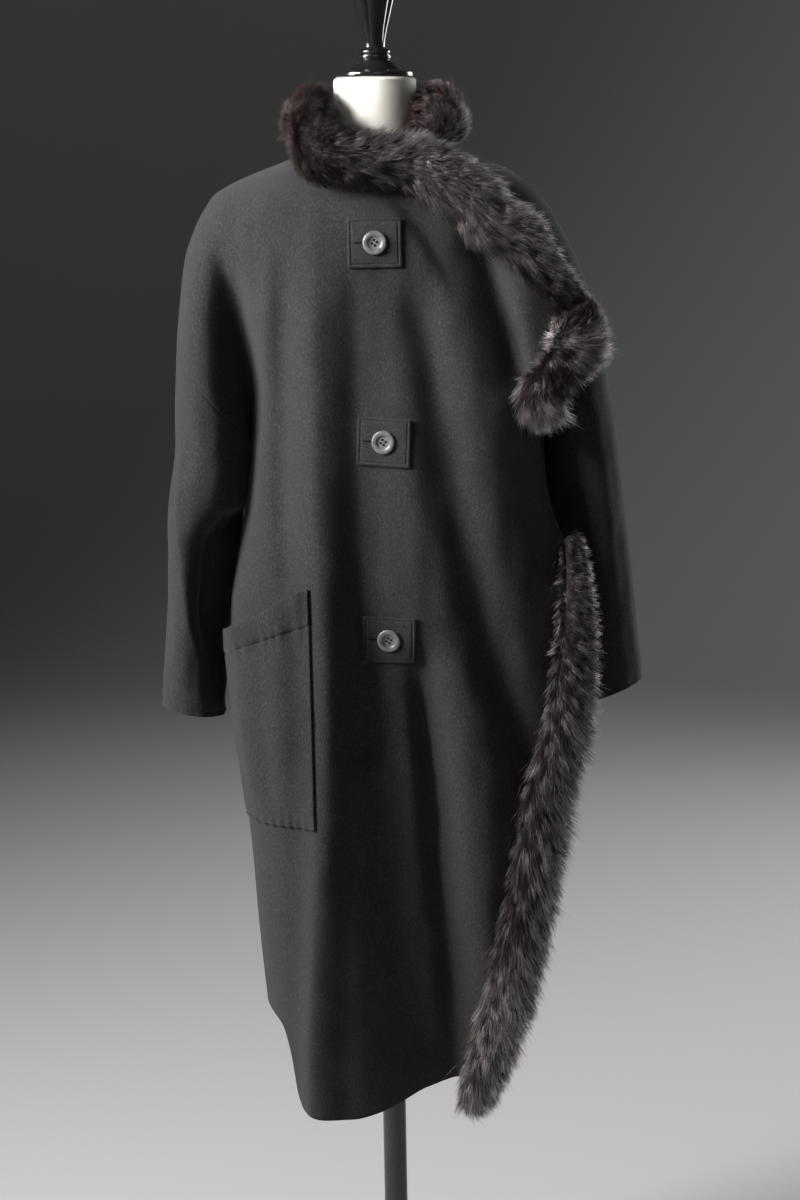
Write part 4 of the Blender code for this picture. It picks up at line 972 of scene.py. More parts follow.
def make_sleeve(side, arm, turn, cuff, creases, wool):
    """A sleeve from its slanting armhole seam down to its cuff."""
    def skin(degrees, share):
        """The sleeve's surface at angles round it and shares of its length."""
        angles = np.radians(degrees)
        top = armhole_height(np.cos(angles)) - ARMHOLE_SEAM
        bottom = cuff.inner + (cuff.outer - cuff.inner) * (1 + np.cos(angles)) / 2
        z = top + (bottom - top) * share
        half = read(arm, "half", z)
        reach = np.where(np.sin(angles) >= 0, read(arm, "front", z), read(arm, "back", z))
        x = read(arm, "middle", z) + turn * half * np.cos(angles)
        points = np.stack([x, -reach * np.sin(angles), z], axis=-1)
        outward = unit(np.stack([turn * np.cos(angles) / half, -np.sin(angles) / reach, 0 * z], axis=-1))
        wave = unevenness(degrees / WAVE_DEGREES * turn, z)
        wave = wave * np.minimum(1.0, SLEEVE_CLOSING * np.sin(angles / 2) ** 2)
        stand = (creased(degrees, z, creases) + wave) * soft_step((top - z) / SLEEVE_FREE)
        stand = stand - groove(z - bottom - CUFF_STITCH) - groove((degrees - INSEAM) / INSEAM_DEGREES)
        stand = stand - groove(top - z, SLEEVE_SEAM_WIDE)
        stand = stand + SLEEVE_SWELL * np.exp(-((top - z - SWELL_BELOW) / SWELL_WIDE) ** 2)
        return points + outward * stand[..., None], outward

    degrees = lined(0.0, 360.0, SLEEVE_COLUMNS, (INSEAM,), INSEAM_REACH)
    points = skin(degrees[None, :], SLEEVE_SHARES[:, None])[0]
    points[:, -1] = points[:, 0]
    stitches = 1 - CUFF_STITCH / (ARMHOLE_TOP - cuff.inner - SLEEVE_SLANT)
    SEWING.append(stitched(skin, (0.0, stitches), (360.0, stitches)))
    piece = settle(shell(f"coat_sleeve_{side}", points, wool, WALL, tube=True), "wool", f"sleeve_{side}")


def pocket_fullness(u, v):
    """How far the pocket bags out from the front, at shares across and up."""
    full = eased(u, 0.0, 0.35) * eased(u, 1.0, 0.60) * eased(v, 0.0, 0.45)
    corner = eased(v, 0.62, 1.0) * eased(u, 0.40, 0.0)
    mouth = eased(v, 0.80, 1.0) * eased(u, 0.0, 0.15) * eased(u, 1.0, 0.88)
    ridge = np.exp(-((u - 0.17) / 0.10) ** 2)
    hollow = np.exp(-((u - 0.42) / 0.13) ** 2)
    folds = (ridge - hollow) * eased(v, 0.0, 0.3) * (1 - 0.5 * eased(v, 0.6, 1.0))
    return POCKET_STAND * full + POCKET_CORNER * corner + POCKET_MOUTH * mouth + POCKET_RIDGE * folds


def puckers(u, x, above_edge, off_band):
    """Cloth gathered by the band's stitches, and small tucks along the lower edge."""
    across = 2 * math.pi * x / PUCKER_PITCH
    gathered = np.sin(across + 2 * np.sin(across / PUCKER_DRIFT)) * np.exp(-(np.abs(off_band) / PUCKER_REACH))
    tucked = np.exp(-(above_edge / TUCK_REACH)) * np.sin(1.3 * across)
    return PUCKER * (gathered + 0.8 * tucked) * eased(u, 0.0, 0.1) * eased(u, 1.0, 0.9)


def make_pocket(wool):
    """The patch pocket, with its turned and stitched band."""
    def skin(u, v):
        """The pocket's surface at shares across and up, its band's line being at v of POCKET_BAND."""
        bottom = POCKET_BOTTOM_LEFT + (POCKET_BOTTOM_RIGHT - POCKET_BOTTOM_LEFT) * u
        band = POCKET_BAND_LEFT + (POCKET_BAND_RIGHT - POCKET_BAND_LEFT) * u ** BAND_BOW
        top = POCKET_TOP_LEFT + (POCKET_TOP_RIGHT - POCKET_TOP_LEFT) * u
        z = np.where(v < POCKET_BAND, bottom + (band - bottom) * v / POCKET_BAND,
                     band + (top - band) * (v - POCKET_BAND) / (1 - POCKET_BAND))
        left = RIGHT_SIDE(z) + POCKET_LEFT_IN
        x = left + (POCKET_RIGHT - left) * u
        points, outward = front_surface(x, z)
        lift = POCKET_CLEAR + POCKET_WALL + pocket_fullness(u, v) + puckers(u, x, z - bottom, z - band)
        lift = lift - groove(z - band) + POCKET_DOUBLED * eased(z - band, 0.001, 0.003)
        lift = lift - groove(z - bottom - POCKET_EDGE_STITCH) * eased(v, 0.0, 0.025)
        return points + outward * lift[..., None], outward

    across = np.linspace(0.0, 1.0, POCKET_COLUMNS)
    up = lined(0.0, 1.0, POCKET_ROWS, (POCKET_BAND, POCKET_EDGE_SHARE), POCKET_LINE_REACH)
    SEWING.append(stitched(skin, (0.02, POCKET_BAND), (0.98, POCKET_BAND)))
    SEWING.append(stitched(skin, (0.04, POCKET_EDGE_SHARE), (0.98, POCKET_EDGE_SHARE)))
    points = skin(*np.meshgrid(across, up))[0]
    piece = settle(shell("coat_pocket", points, wool, POCKET_WALL, outwards=(0, -1, 0)), "wool", "pocket")


def tab_skin(tab):
    """A button tab's surface: a stiff patch that bridges the small folds of the front under it."""
    lean = math.radians(tab.lean)
    half_wide, half_tall = TAB_WIDE / 2, TAB_TALL / 2
    hole_from, hole_to = BUTTONHOLE

    def front_place(u, v):
        """x and z on the front, from places across and up the tab."""
        x = tab.x + u * math.cos(lean) + v * math.sin(lean)
        return x, tab.z - u * math.sin(lean) + v * math.cos(lean)

    def terms(u, v):
        """What the patch's depth is a sum of shares of."""
        return np.stack([np.ones_like(u), u, v, u * u, v * v], axis=-1)

    sides = [np.linspace(-half, half, TAB_ROWS) for half in (half_wide, half_tall)]
    u, v = (side.ravel() for side in np.meshgrid(*sides))
    under = wide_front(*front_place(u, v))
    fit = np.linalg.lstsq(terms(u, v), under, rcond=None)[0]
    rise = np.max(under - terms(u, v) @ fit) * TAB_STIFF + TAB_CLEAR

    def skin(u, v):
        """The tab's surface and its outward directions at places across and up it."""
        x, z = front_place(u, v)
        slope_u, slope_v = fit[1] + 2 * fit[3] * u, fit[2] + 2 * fit[4] * v
        lift = rise + TAB_LIFT * soft_step(np.maximum(u / half_wide, -v / half_tall)) + TAB_THICK
        past_line = np.maximum(np.abs(u) - half_wide, np.abs(v) - half_tall) + TAB_SEWN
        lift = lift - groove(past_line) - TAB_EDGE * eased(past_line, 0.002, 0.004)
        in_hole = eased(u, hole_from, hole_from + BUTTONHOLE_EASE)
        in_hole = in_hole * eased(u, hole_to, hole_to - BUTTONHOLE_EASE)
        lift = lift - BUTTONHOLE_DEPTH * in_hole * np.exp(-((v / BUTTONHOLE_WIDE) ** 2))
        depth = TAB_STIFF * (terms(u, v) @ fit) + (1 - TAB_STIFF) * wide_front(x, z) + lift
        outward = unit(np.stack([-slope_u, -np.ones_like(x), -slope_v], axis=-1))
        return np.stack([x, -depth, z], axis=-1), outward

    return skin


def make_tab(number, tab, wool):
    """A tab that a button sits on, with its stitches and the thread round its slot."""
    skin = tab_skin(tab)
    half_wide, half_tall = TAB_WIDE / 2, TAB_TALL / 2
    side, end = half_wide - TAB_SEWN, half_tall - TAB_SEWN
    across = lined(-half_wide, half_wide, TAB_COLUMNS, (-side, side), TAB_LINE_REACH)
    up = lined(-half_tall, half_tall, TAB_ROWS, (-end, 0.0, end), TAB_LINE_REACH)
    corners = ((-side, -end), (side, -end), (side, end), (-side, end), (-side, -end))
    for first, last in zip(corners, corners[1:]):
        SEWING.append(stitched(skin, first, last))
    hole_from, hole_to = BUTTONHOLE
    along = np.arange(hole_from, hole_to, PURL_PITCH)
    for lowest in PURLS:
        rows = [skin(along, np.full_like(along, lowest + way * PURL_LONG))[0] for way in (0.0, 0.5, 1.0)]
        outward = skin(along, np.full_like(along, lowest))[1]
        rows[1] = rows[1] + outward * PURL_STAND
        SEWING.append((np.stack(rows, axis=1), outward))
    # black threads along the slot, laid as painted shade in it
    for level in SLOT_SHADE_GIMPS:
        SEWING.append(stitched(skin, (hole_from, level), (hole_to, level), GIMP_PITCH))
    points = skin(*np.meshgrid(across, up[::-1]))[0]
    made = shell(f"coat_tab_{number}", points, wool, TAB_THICK, outwards=(0, -1, 0))
    piece = settle(made, "wool", f"tab_{number}")


def make_button(number, tab, horn):
    """A four-hole button with a dished middle, and the thread that holds it."""
    bm = spun(BUTTON_RIM, BUTTON_SIDES)
    hole_shade_layer = bm.verts.layers.float.new("sunk")
    foot = BUTTON_RIM[0][1]
    dish = [edge for edge in bm.edges if edge.is_boundary]
    turns = [math.radians(90 * k + HOLE_TURN) for k in range(4)]
    holes = [Vector((HOLE_PITCH * math.cos(turn), HOLE_PITCH * math.sin(turn), foot)) for turn in turns]
    rims = []
    for hole in holes:
        made = bmesh.ops.create_circle(bm, segments=HOLE_SIDES, radius=HOLE_RADIUS,
                                       matrix=Matrix.Translation(hole))
        rims += dict.fromkeys(edge for vert in made["verts"] for edge in vert.link_edges)
    bmesh.ops.triangle_fill(bm, use_beauty=True, edges=dish + rims, normal=(0, 0, 1))
    sunk = bmesh.ops.extrude_edge_only(bm, edges=rims)["geom"]
    sunk = [part for part in sunk if isinstance(part, bmesh.types.BMVert)]
    bmesh.ops.translate(bm, vec=(0, 0, -HOLE_DEPTH), verts=sunk)
    # weight 1 at the floors of the holes, where the horn finish paints shade
    for vert in sunk:
        vert[hole_shade_layer] = 1.0
    bmesh.ops.holes_fill(bm, edges=[edge for edge in bm.edges if edge.is_boundary], sides=0)
    bmesh.ops.recalc_face_normals(bm, faces=bm.faces[:])
    points, outward = tab_skin(tab)(np.zeros(1), np.zeros(1))
    outward = Vector(outward[0])
    turned_out = outward.to_track_quat("Z", "Y").to_matrix().to_4x4()
    place = Matrix.Translation(Vector(points[0]) + outward * BUTTON_CLEAR) @ turned_out
    bmesh.ops.transform(bm, matrix=place, verts=bm.verts[:])
    made = add_piece(f"coat_button_{number}", bm, horn)
    made.data.set_sharp_from_angle(angle=BUTTON_SHARP)
    settle(made, "button", f"button_{number}")
    up, down = Vector((0, 0, STRAND_UP)), Vector((0, 0, -STRAND_DOWN))
    strands = []
    for first, last in ((holes[0], holes[1]), (holes[2], holes[3])):
        strands.append([place @ (first + down), place @ ((first + last) / 2 + up), place @ (last + down)])
    SEWING.append((np.array(strands), np.array([outward] * len(strands))))


# ---------------------------------------------------------------- fur
# A stretch of fur follows frames: rows of its middle, its half-width across and its half-thickness outwards,
# three numbers each, and then its hair's columns.
HAIR = ("comb", "fan", "lift", "long", "dark")
FRAME_HAIR = 9


def under_fur(x, z):
    """The wide front's surface, carried straight up past the shoulder line for the fur to lie on."""
    return wide_front(x, np.minimum(z, SHOULDER_LINE), CREASES_UNDER_FUR)


def strip_frames(table, clear):
    """Frames of a strip of fur that lies on the wide front, clear of it."""
    rows = [np.array([row.x, row.z]) for row in table]
    step = 0.010
    frames = []
    for k, row in enumerate(table):
        ahead = rows[min(k + 1, len(rows) - 1)] - rows[max(k - 1, 0)]
        ahead /= np.linalg.norm(ahead)
        across = np.array([-ahead[1], 0.0, ahead[0]])
        slope_x = (under_fur(row.x + step, row.z) - under_fur(row.x - step, row.z)) / (2 * step)
        slope_z = (under_fur(row.x, row.z + step) - under_fur(row.x, row.z - step)) / (2 * step)
        slope_z = max(slope_z, -FUR_SLOPE)
        outward = np.array([-slope_x, -1.0, -slope_z]) / math.sqrt(1 + slope_x**2 + slope_z**2)
        middle = np.array([row.x, -float(under_fur(row.x, row.z)), row.z])
        middle = middle + outward * (row.thick / 2 + clear)
        hair = [getattr(row, name) for name in HAIR]
        frames.append(np.concatenate([middle, across * row.width / 2, outward * row.thick / 2, hair]))
    return frames


def collar_frames():
    """Frames of the collar, from its end behind the front fur round the neck."""
    half_tall = (COLLAR_TOP - COLLAR_BOTTOM) / 2
    frames = []
    for degrees in np.linspace(COLLAR_START, COLLAR_END, COLLAR_ROWS):
        angle = math.radians(degrees)
        cosine, sine = math.cos(angle), math.sin(angle)
        sunk = float(soft_step((COLLAR_SINKS - degrees) / (COLLAR_SINKS - COLLAR_START)))
        level = (COLLAR_BOTTOM + COLLAR_TOP) / 2 - COLLAR_SUNK * sunk
        middle = [COLLAR_RADIUS * cosine, COLLAR_RADIUS * sine, level]
        across = [-COLLAR_LEAN * cosine, -COLLAR_LEAN * sine, half_tall * (1 - COLLAR_NARROWED * sunk)]
        outward = [COLLAR_HALF_THICK * cosine, COLLAR_HALF_THICK * sine, 0.0]
        hair = [*COLLAR_HAIR, COLLAR_DARK + COLLAR_DARKER * sunk]
        frames.append(np.concatenate([middle, across, outward, hair]))
    return frames


class Stretch:
    """Fur along frames, over part of their length. Free ends are rounded."""

    def __init__(self, frames):
        self.frames = np.array(frames)
        runs = np.linalg.norm(np.diff(self.frames[:, :3], axis=0), axis=1)
        self.places = np.concatenate([[0.0], np.cumsum(runs)])
        self.slopes = np.gradient(self.frames, self.places, axis=0)
        self.low, self.high = self.places[0], self.places[-1]

    def frame(self, s):
        """The frames at places along the stretch, on a smooth curve through them."""
        k = np.clip(np.searchsorted(self.places, s) - 1, 0, len(self.places) - 2)
        run = (self.places[k + 1] - self.places[k])[..., None]
        t = (s - self.places[k])[..., None] / run
        low, high = self.frames[k], self.frames[k + 1]
        return (low * (1 + 2 * t) * (1 - t) ** 2 + high * t * t * (3 - 2 * t)
                + run * (self.slopes[k] * t * (1 - t) ** 2 - self.slopes[k + 1] * t * t * (1 - t)))

    def hair(self, s, name):
        """One of the hair's columns at places along the stretch."""
        return self.frame(s)[..., FRAME_HAIR + HAIR.index(name)]

    def skin(self, s, angle):
        """Points on the skin at angles round the section, from its upper or outer edge outwards."""
        at = self.frame(s)
        thick = np.linalg.norm(at[..., 6:9], axis=-1)
        nearest_end = np.minimum(s - self.low, self.high - s) / (FUR_SKIN * thick)
        share = FUR_SKIN * np.sqrt(np.clip(1 - (1 - np.clip(nearest_end, 0.0, 1.0)) ** 2, 0.0, 1.0))
        offset = np.cos(angle)[..., None] * at[..., 3:6] + np.sin(angle)[..., None] * at[..., 6:9]
        return at[..., :3] + np.maximum(share, FUR_END)[..., None] * offset


def drift(along, across, seed):
    """Slow waves over a surface, from -1 to 1."""
    return (np.sin(along + 1.7 * across + seed) + np.sin(1.9 * along - 1.1 * across + 2.3 * seed)
            + np.sin(-0.7 * along + 2.6 * across + 4.1 * seed)) / 3


def end_crowded(start, end, count):
    """Places along a stretch, closer together towards its ends."""
    return start + (end - start) * (1 - np.cos(np.linspace(0.0, math.pi, count))) / 2


def make_skin(name, stretch, start, end, finish):
    """The soft dark body of a stretch of fur, under its hair."""
    rows, columns = max(int((end - start) / SKIN_PITCH), SKIN_ROWS), SKIN_COLUMNS
    turns = np.linspace(0.0, 2 * math.pi, columns)
    points = stretch.skin(*np.meshgrid(end_crowded(start, end, rows), turns, indexing="ij"))
    points[:, -1] = points[:, 0]
    bm = grid(points)
    bmesh.ops.remove_doubles(bm, verts=bm.verts[:], dist=MERGE)
    bmesh.ops.holes_fill(bm, edges=[edge for edge in bm.edges if edge.is_boundary])
    bmesh.ops.recalc_face_normals(bm, faces=bm.faces[:])
    return add_piece(name, bm, finish)


def sown(stretch, start, end, count, low, high, random):
    """Places and angles for hairs, as many to each square millimetre of skin."""
    rows, turns = end_crowded(start, end, SOWN_ROWS), np.radians(np.linspace(low, high, SOWN_COLUMNS))
    points = stretch.skin(*np.meshgrid(rows, turns, indexing="ij"))
    sides = np.cross(points[1:, :-1] - points[:-1, :-1], points[:-1, 1:] - points[:-1, :-1])
    areas = np.linalg.norm(sides, axis=-1).reshape(-1)
    cell = random.choice(len(areas), size=count, p=areas / areas.sum())
    row, turn = cell // (len(turns) - 1), cell % (len(turns) - 1)
    s = rows[row] + (rows[row + 1] - rows[row]) * random.random(count)
    return s, turns[turn] + (turns[1] - turns[0]) * random.random(count)


def grow(stretch, s, angle, seed, random):
    """Hairs from the skin: their roots, middles and tips, and the way that the skin faces."""
    step, turn_step = 2e-4, 0.01
    root = stretch.skin(s, angle)
    along = unit(stretch.skin(s + step, angle) - stretch.skin(s - step, angle))
    turning = unit(stretch.skin(s, angle + turn_step) - stretch.skin(s, angle - turn_step))
    out = unit(np.cross(turning, along))
    turning = np.cross(along, out)
    comb, fan, lift, long = (stretch.hair(s, name) for name in ("comb", "fan", "lift", "long"))
    waves = drift(s * 95, angle * 2.2, seed)
    way = comb + fan * (np.degrees(angle) - 90) / 90 + COMB_WAVES * waves
    way = np.radians(way + random.normal(0.0, COMB_STRAY, len(s)))
    flow = along * np.cos(way)[:, None] + turning * np.sin(way)[:, None]
    tilt = lift + LIFT_WAVES * drift(s * 160, angle * 4.0, seed + 1.3)
    tilt = np.radians(np.clip(tilt + random.normal(0.0, LIFT_STRAY, len(s)), *LIFT_LIMITS))
    long = long * random.uniform(*LONG_STRAY, len(s))
    long = long * np.where(random.random(len(s)) < GUARD_HAIRS, GUARD_LONGER, 1.0)

    def leaning(share):
        return flow * np.cos(tilt * share)[:, None] + out * np.sin(tilt * share)[:, None]

    middle = root + leaning(ROOT_LIFT) * (HAIR_WIDEST * long)[:, None]
    tip = middle + leaning(TIP_LIFT) * ((1 - HAIR_WIDEST) * long)[:, None] - np.array([0.0, 0.0, HAIR_DROOP])
    return root, middle, tip, out


def clumped(root, middle, tip, random):
    """Hairs drawn together into locks, each towards the nearest of some leading hairs."""
    leaders = random.permutation(len(root))[:max(int(len(root) / LOCK_HAIRS), 1)]
    tree = KDTree(len(leaders))
    for k, leader in enumerate(leaders):
        tree.insert(root[leader], k)
    tree.balance()
    mine = leaders[[tree.find(place)[1] for place in root]]
    share = LOCK_PULL * random.uniform(LOCK_LEAST, 1.0, len(root))
    share = share * (random.random(len(root)) > LOOSE_HAIRS)
    share = share[:, None]
    return middle + (middle[mine] - middle) * share * LOCK_MIDDLE, tip + (tip[mine] - tip) * share, mine


def hair_mesh(name, root, middle, tip, out, tone, shade, finish):
    """All hairs as one mesh of closed slivers, three-sided and pointed at both ends.

    The map called strand holds each hair's tone and the way along it, and the one called lock its shade.
    """
    count = len(root)
    way = unit(tip - root)
    side = unit(np.cross(way, out))
    over = np.cross(way, side)
    ring = []
    for k in range(3):
        turn = math.radians(90 + 120 * k)
        ring.append(middle + HAIR_RADIUS * (side * math.cos(turn) + over * math.sin(turn)))
    verts = np.stack([root] + ring + [tip], axis=1).reshape(-1, 3)
    faces = np.array([(0, 2, 1), (0, 3, 2), (0, 1, 3), (4, 1, 2), (4, 2, 3), (4, 3, 1)])
    corners = (faces.reshape(1, -1) + 5 * np.arange(count)[:, None]).reshape(-1)
    mesh = bpy.data.meshes.new(name)
    mesh.vertices.add(len(verts))
    mesh.vertices.foreach_set("co", verts.astype(np.float32).reshape(-1))
    mesh.loops.add(len(corners))
    mesh.loops.foreach_set("vertex_index", corners.astype(np.int32))
    mesh.polygons.add(len(corners) // 3)
    mesh.polygons.foreach_set("loop_start", np.arange(0, len(corners), 3, dtype=np.int32))
    mesh.update(calc_edges=True)
    way_along = np.array([0.0, HAIR_WIDEST, HAIR_WIDEST, HAIR_WIDEST, 1.0])[corners % 5]
    for map_name, values in (("strand", tone), ("lock", shade)):
        layer = mesh.uv_layers.new(name=map_name)
        pairs = np.stack([values[corners // 5], way_along], axis=1)
        layer.data.foreach_set("uv", pairs.astype(np.float32).reshape(-1))
    mesh.materials.append(finish)
    mesh.shade_smooth()
    return linked(name, mesh)


def make_fur(name, node, stretch, start, end, growth, seed, skin, hair):
    """One stretch of fur: its skin and its hair."""
    random = np.random.default_rng(seed)
    settle(make_skin(f"{name}_skin", stretch, start, end, skin), "fur", node)
    s, angle = sown(stretch, start, end, growth.count, growth.low, growth.high, random)
    root, middle, tip, out = grow(stretch, s, angle, seed, random)
    middle, tip, mine = clumped(root, middle, tip, random)
    dark = stretch.hair(s, "dark")
    patches = 0.5 + 0.5 * drift(s * 130, angle * 3.0, seed + 0.6)
    edge = np.clip(-np.cos(angle), 0.0, 1.0) * np.clip(0.2 + 2 * dark, 0.0, 1.0)
    dark = dark + INNER_DARK * edge * np.clip(0.1 + 1.6 * patches, 0.0, 1.6)
    shade = (dark + SHADE_PATCHES * (patches - 0.5) - 0.5) * SHADE_CONTRAST + 0.5
    shade = shade + random.normal(0.0, SHADE_STRAY, growth.count)
    tone = 0.5 * random.random(growth.count) + 0.5 * random.random(growth.count)[mine]
    made = hair_mesh(f"{name}_hair", root, middle, tip, out, tone, np.clip(shade, 0.0, 1.0), hair)
    settle(made, "fur")


# ---------------------------------------------------------------- the form and its stand
def turned(name, outline_points, finish, sides=TURNED_SIDES):
    """A solid turned round the Z axis. The outline starts and ends on the axis."""
    bm = spun(outline_points, sides)
    bmesh.ops.recalc_face_normals(bm, faces=bm.faces[:])
    made = add_piece(name, bm, finish)
    made.data.set_sharp_from_angle(angle=TURNED_SHARP)
    return made


def rounded_corner(radius, z, size, way, steps=5):
    """Points round the outer corner of a turned outline. way is 1 for an upper corner, -1 for a lower one."""
    turns = [math.pi / 2 * k / steps for k in range(steps + 1)]
    points = [(radius - size + size * math.cos(turn), z - way * size + way * size * math.sin(turn))
              for turn in turns]
    return points if way > 0 else points[::-1]


def make_neck(linen):
    """The neck block, flared at its foot."""
    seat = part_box("form_neck")[0].z
    points = [(0.0, seat)] + [(share * NECK_RADIUS, seat + height) for share, height in NECK_FLARE]
    points += rounded_corner(NECK_RADIUS, NECK_TOP, NECK_ROUNDED, 1) + [(0.0, NECK_TOP)]
    settle(turned("form_neck_block", points, linen), "linen", "form_neck")


def make_finial(lacquer):
    """The turned finial, with flutes down its grip."""
    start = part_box("form_finial")[0].z
    points = [(0.0, start)] + [(radius, start + height) for radius, height in FINIAL_FOOT + FINIAL_GRIP]
    made = turned("form_finial_turned", points, lacquer, sides=FLUTES * FLUTE_SIDES)
    grip_start, grip_end = start + FINIAL_GRIP[0][1], start + FINIAL_GRIP[-3][1]
    for vert in made.data.vertices:
        x, y, z = vert.co
        share = eased(z, grip_start, grip_start + FLUTE_FADE) * eased(z, grip_end, grip_end - FLUTE_FADE)
        wave = abs(math.sin(FLUTES * math.atan2(y, x) / 2))
        scale = 1 - FLUTE_DEPTH * float(share) * (1 - wave**FLUTE_NARROW)
        vert.co = (x * scale, y * scale, z)
    settle(made, "lacquer", "form_finial")


def make_stand(metal):
    """The pole, and the foot with its socket."""
    foot, top = (corner.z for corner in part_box("stand_pole"))
    tube = [(0.0, foot), (POLE_RADIUS, foot), (POLE_RADIUS, top), (0.0, top)]
    settle(turned("stand_pole_tube", tube, metal), "black_metal", "stand_pole")
    bore = POLE_RADIUS + SEAM
    base = [(0.0, 0.0)] + rounded_corner(BASE_RADIUS, 0.0, BASE_UNDER_ROUNDED, -1)
    base += rounded_corner(BASE_RADIUS, BASE_THICK, BASE_ROUNDED, 1)
    base += [(SOCKET_RADIUS + out, BASE_THICK + up) for out, up in SOCKET_FILLET]
    base += rounded_corner(SOCKET_RADIUS, SOCKET_TOP, SOCKET_ROUNDED, 1)
    base += [(bore, SOCKET_TOP), (bore, BASE_THICK), (0.0, BASE_THICK)]
    settle(turned("stand_base_plate", base, metal, sides=BASE_SIDES), "black_metal", "stand_base")


def make_form_body(linen):
    """The form's body, on a merged copy of its solid."""
    bm = bmesh.new()
    bm.from_mesh(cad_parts["form_torso"].data)
    bmesh.ops.remove_doubles(bm, verts=bm.verts[:], dist=SOLID_MERGE)
    bmesh.ops.dissolve_limit(bm, angle_limit=FLAT_ANGLE, verts=bm.verts[:], edges=bm.edges[:])
    made = add_piece("form_body", bm, linen)
    smooth = made.modifiers.new("smooth", "SUBSURF")
    smooth.levels = smooth.render_levels = 2
    settle(made, "linen", "form_torso")


# ---------------------------------------------------------------- materials
class Finish:
    """A material made of nodes. Values that are the same all over go straight onto the shader."""

    def __init__(self, name, **sockets):
        self.material = bpy.data.materials.new(name)
        self.material.use_nodes = True
        self.tree = self.material.node_tree
        self.shader = self.tree.nodes["Principled BSDF"]
        for key, value in sockets.items():
            self.shader.inputs[key.replace("_", " ").title().replace("Ior", "IOR")].default_value = value

    def node(self, kind, settings=None, **inputs):
        """Adds a node. An input given another node's output is linked to it, and any other is set."""
        made = self.tree.nodes.new(f"ShaderNode{kind}")
        for key, value in (settings or {}).items():
            setattr(made, key, value)
        for key, value in inputs.items():
            self.join(made.inputs[key.replace("_", " ")], value)
        return made

    def join(self, socket, value):
        """Links another node's output to a socket, or sets the socket."""
        if isinstance(value, bpy.types.NodeSocket):
            self.tree.links.new(value, socket)
        else:
            socket.default_value = value

    def colour(self, value):
        """The colour of the surface, as a colour or another node's output."""
        self.join(self.shader.inputs["Base Color"], value)

    def bump(self, height, distance, strength=1.0, under=None):
        """Relief from a height, on top of the relief under it."""
        made = self.node("Bump", Height=height, Distance=distance, Strength=strength)
        if under is not None:
            self.join(made.inputs["Normal"], under.outputs["Normal"])
        self.join(self.shader.inputs["Normal"], made.outputs["Normal"])
        return made

    def place(self, scale=(1.0, 1.0, 1.0)):
        """Object coordinates, stretched."""
        coordinates = self.node("TexCoord")
        return self.node("Mapping", Vector=coordinates.outputs["Object"], Scale=scale).outputs["Vector"]

    def noise(self, where, scale, detail=2.0, roughness=0.5, distortion=0.0):
        """Grain of a scale, as a value from 0 to 1."""
        return self.node("TexNoise", Vector=where, Scale=scale, Detail=detail, Roughness=roughness,
                         Distortion=distortion).outputs["Fac"]

    def ramp(self, value, *stops):
        """A colour by value, from stops of (position, colour)."""
        made = self.node("ValToRGB", Fac=value)
        ramp = made.color_ramp
        while len(ramp.elements) < len(stops):
            ramp.elements.new(1.0)
        for element, (position, colour) in zip(ramp.elements, stops):
            element.position = position
            element.color = (*colour, 1.0)
        return made.outputs["Color"]

    def mottle(self, value, dark, light, distance, strength=1.0):
        """Colour from dark to light by a value, and relief by the same value."""
        self.colour(self.ramp(value, dark, light))
        self.bump(value, distance, strength)

    def mix(self, share, first, second):
        """One colour or the other, by share."""
        made = self.node("Mix", {"data_type": "RGBA"})
        for index, value in ((0, share), (6, first), (7, second)):
            self.join(made.inputs[index], value)
        return made.outputs[2]

    def range(self, value, low, high, to_low=0.0, to_high=1.0):
        """A value between two limits, carried over to two others."""
        made = self.node("MapRange", Value=value)
        for key, number in (("From Min", low), ("From Max", high), ("To Min", to_low), ("To Max", to_high)):
            made.inputs[key].default_value = number
        return made.outputs["Result"]


def wool_finish():
    """Charcoal wool with a brushed nap: mottled grain, fine fibres, slow clouds and a little pale lint."""
    finish = Finish("charcoal wool", roughness=0.92, sheen_weight=0.12, sheen_roughness=0.45,
                    sheen_tint=(0.80, 0.82, 0.90, 1.0), specular_ior_level=0.25)
    brushed = finish.place((1.0, 1.0, 0.6))
    grain = finish.noise(brushed, 520.0, 3.0, 0.66)
    fibres = finish.noise(finish.place((1.0, 1.0, 0.35)), 1500.0, 2.0, 0.6)
    clouds = finish.noise(finish.place(), 14.0, 3.0, 0.5)
    grey = finish.ramp(grain, (0.25, (0.010, 0.010, 0.0106)), (0.55, (0.027, 0.027, 0.0280)),
                       (0.80, (0.064, 0.064, 0.0665)))
    grey = finish.mix(finish.range(clouds, 0.3, 0.7, 0.0, 0.35), grey, (0.018, 0.018, 0.020, 1.0))
    cells = finish.node("TexVoronoi", Vector=finish.place((1.0, 1.0, 0.7)), Scale=160.0, Randomness=1.0)
    near = finish.range(cells.outputs["Distance"], 0.028, 0.045, 1.0, 0.0)
    chosen = finish.node("SeparateColor", Color=cells.outputs["Color"])
    rare = finish.range(chosen.outputs["Red"], 0.85, 0.86)
    speck = finish.node("Math", {"operation": "MULTIPLY"})
    finish.join(speck.inputs[0], near)
    finish.join(speck.inputs[1], rare)
    finish.colour(finish.mix(speck.outputs["Value"], grey, (0.13, 0.125, 0.12, 1.0)))
    coarse = finish.bump(grain, 0.0007, 0.9)
    finish.bump(fibres, 0.00025, 0.8, under=coarse)
    return finish.material


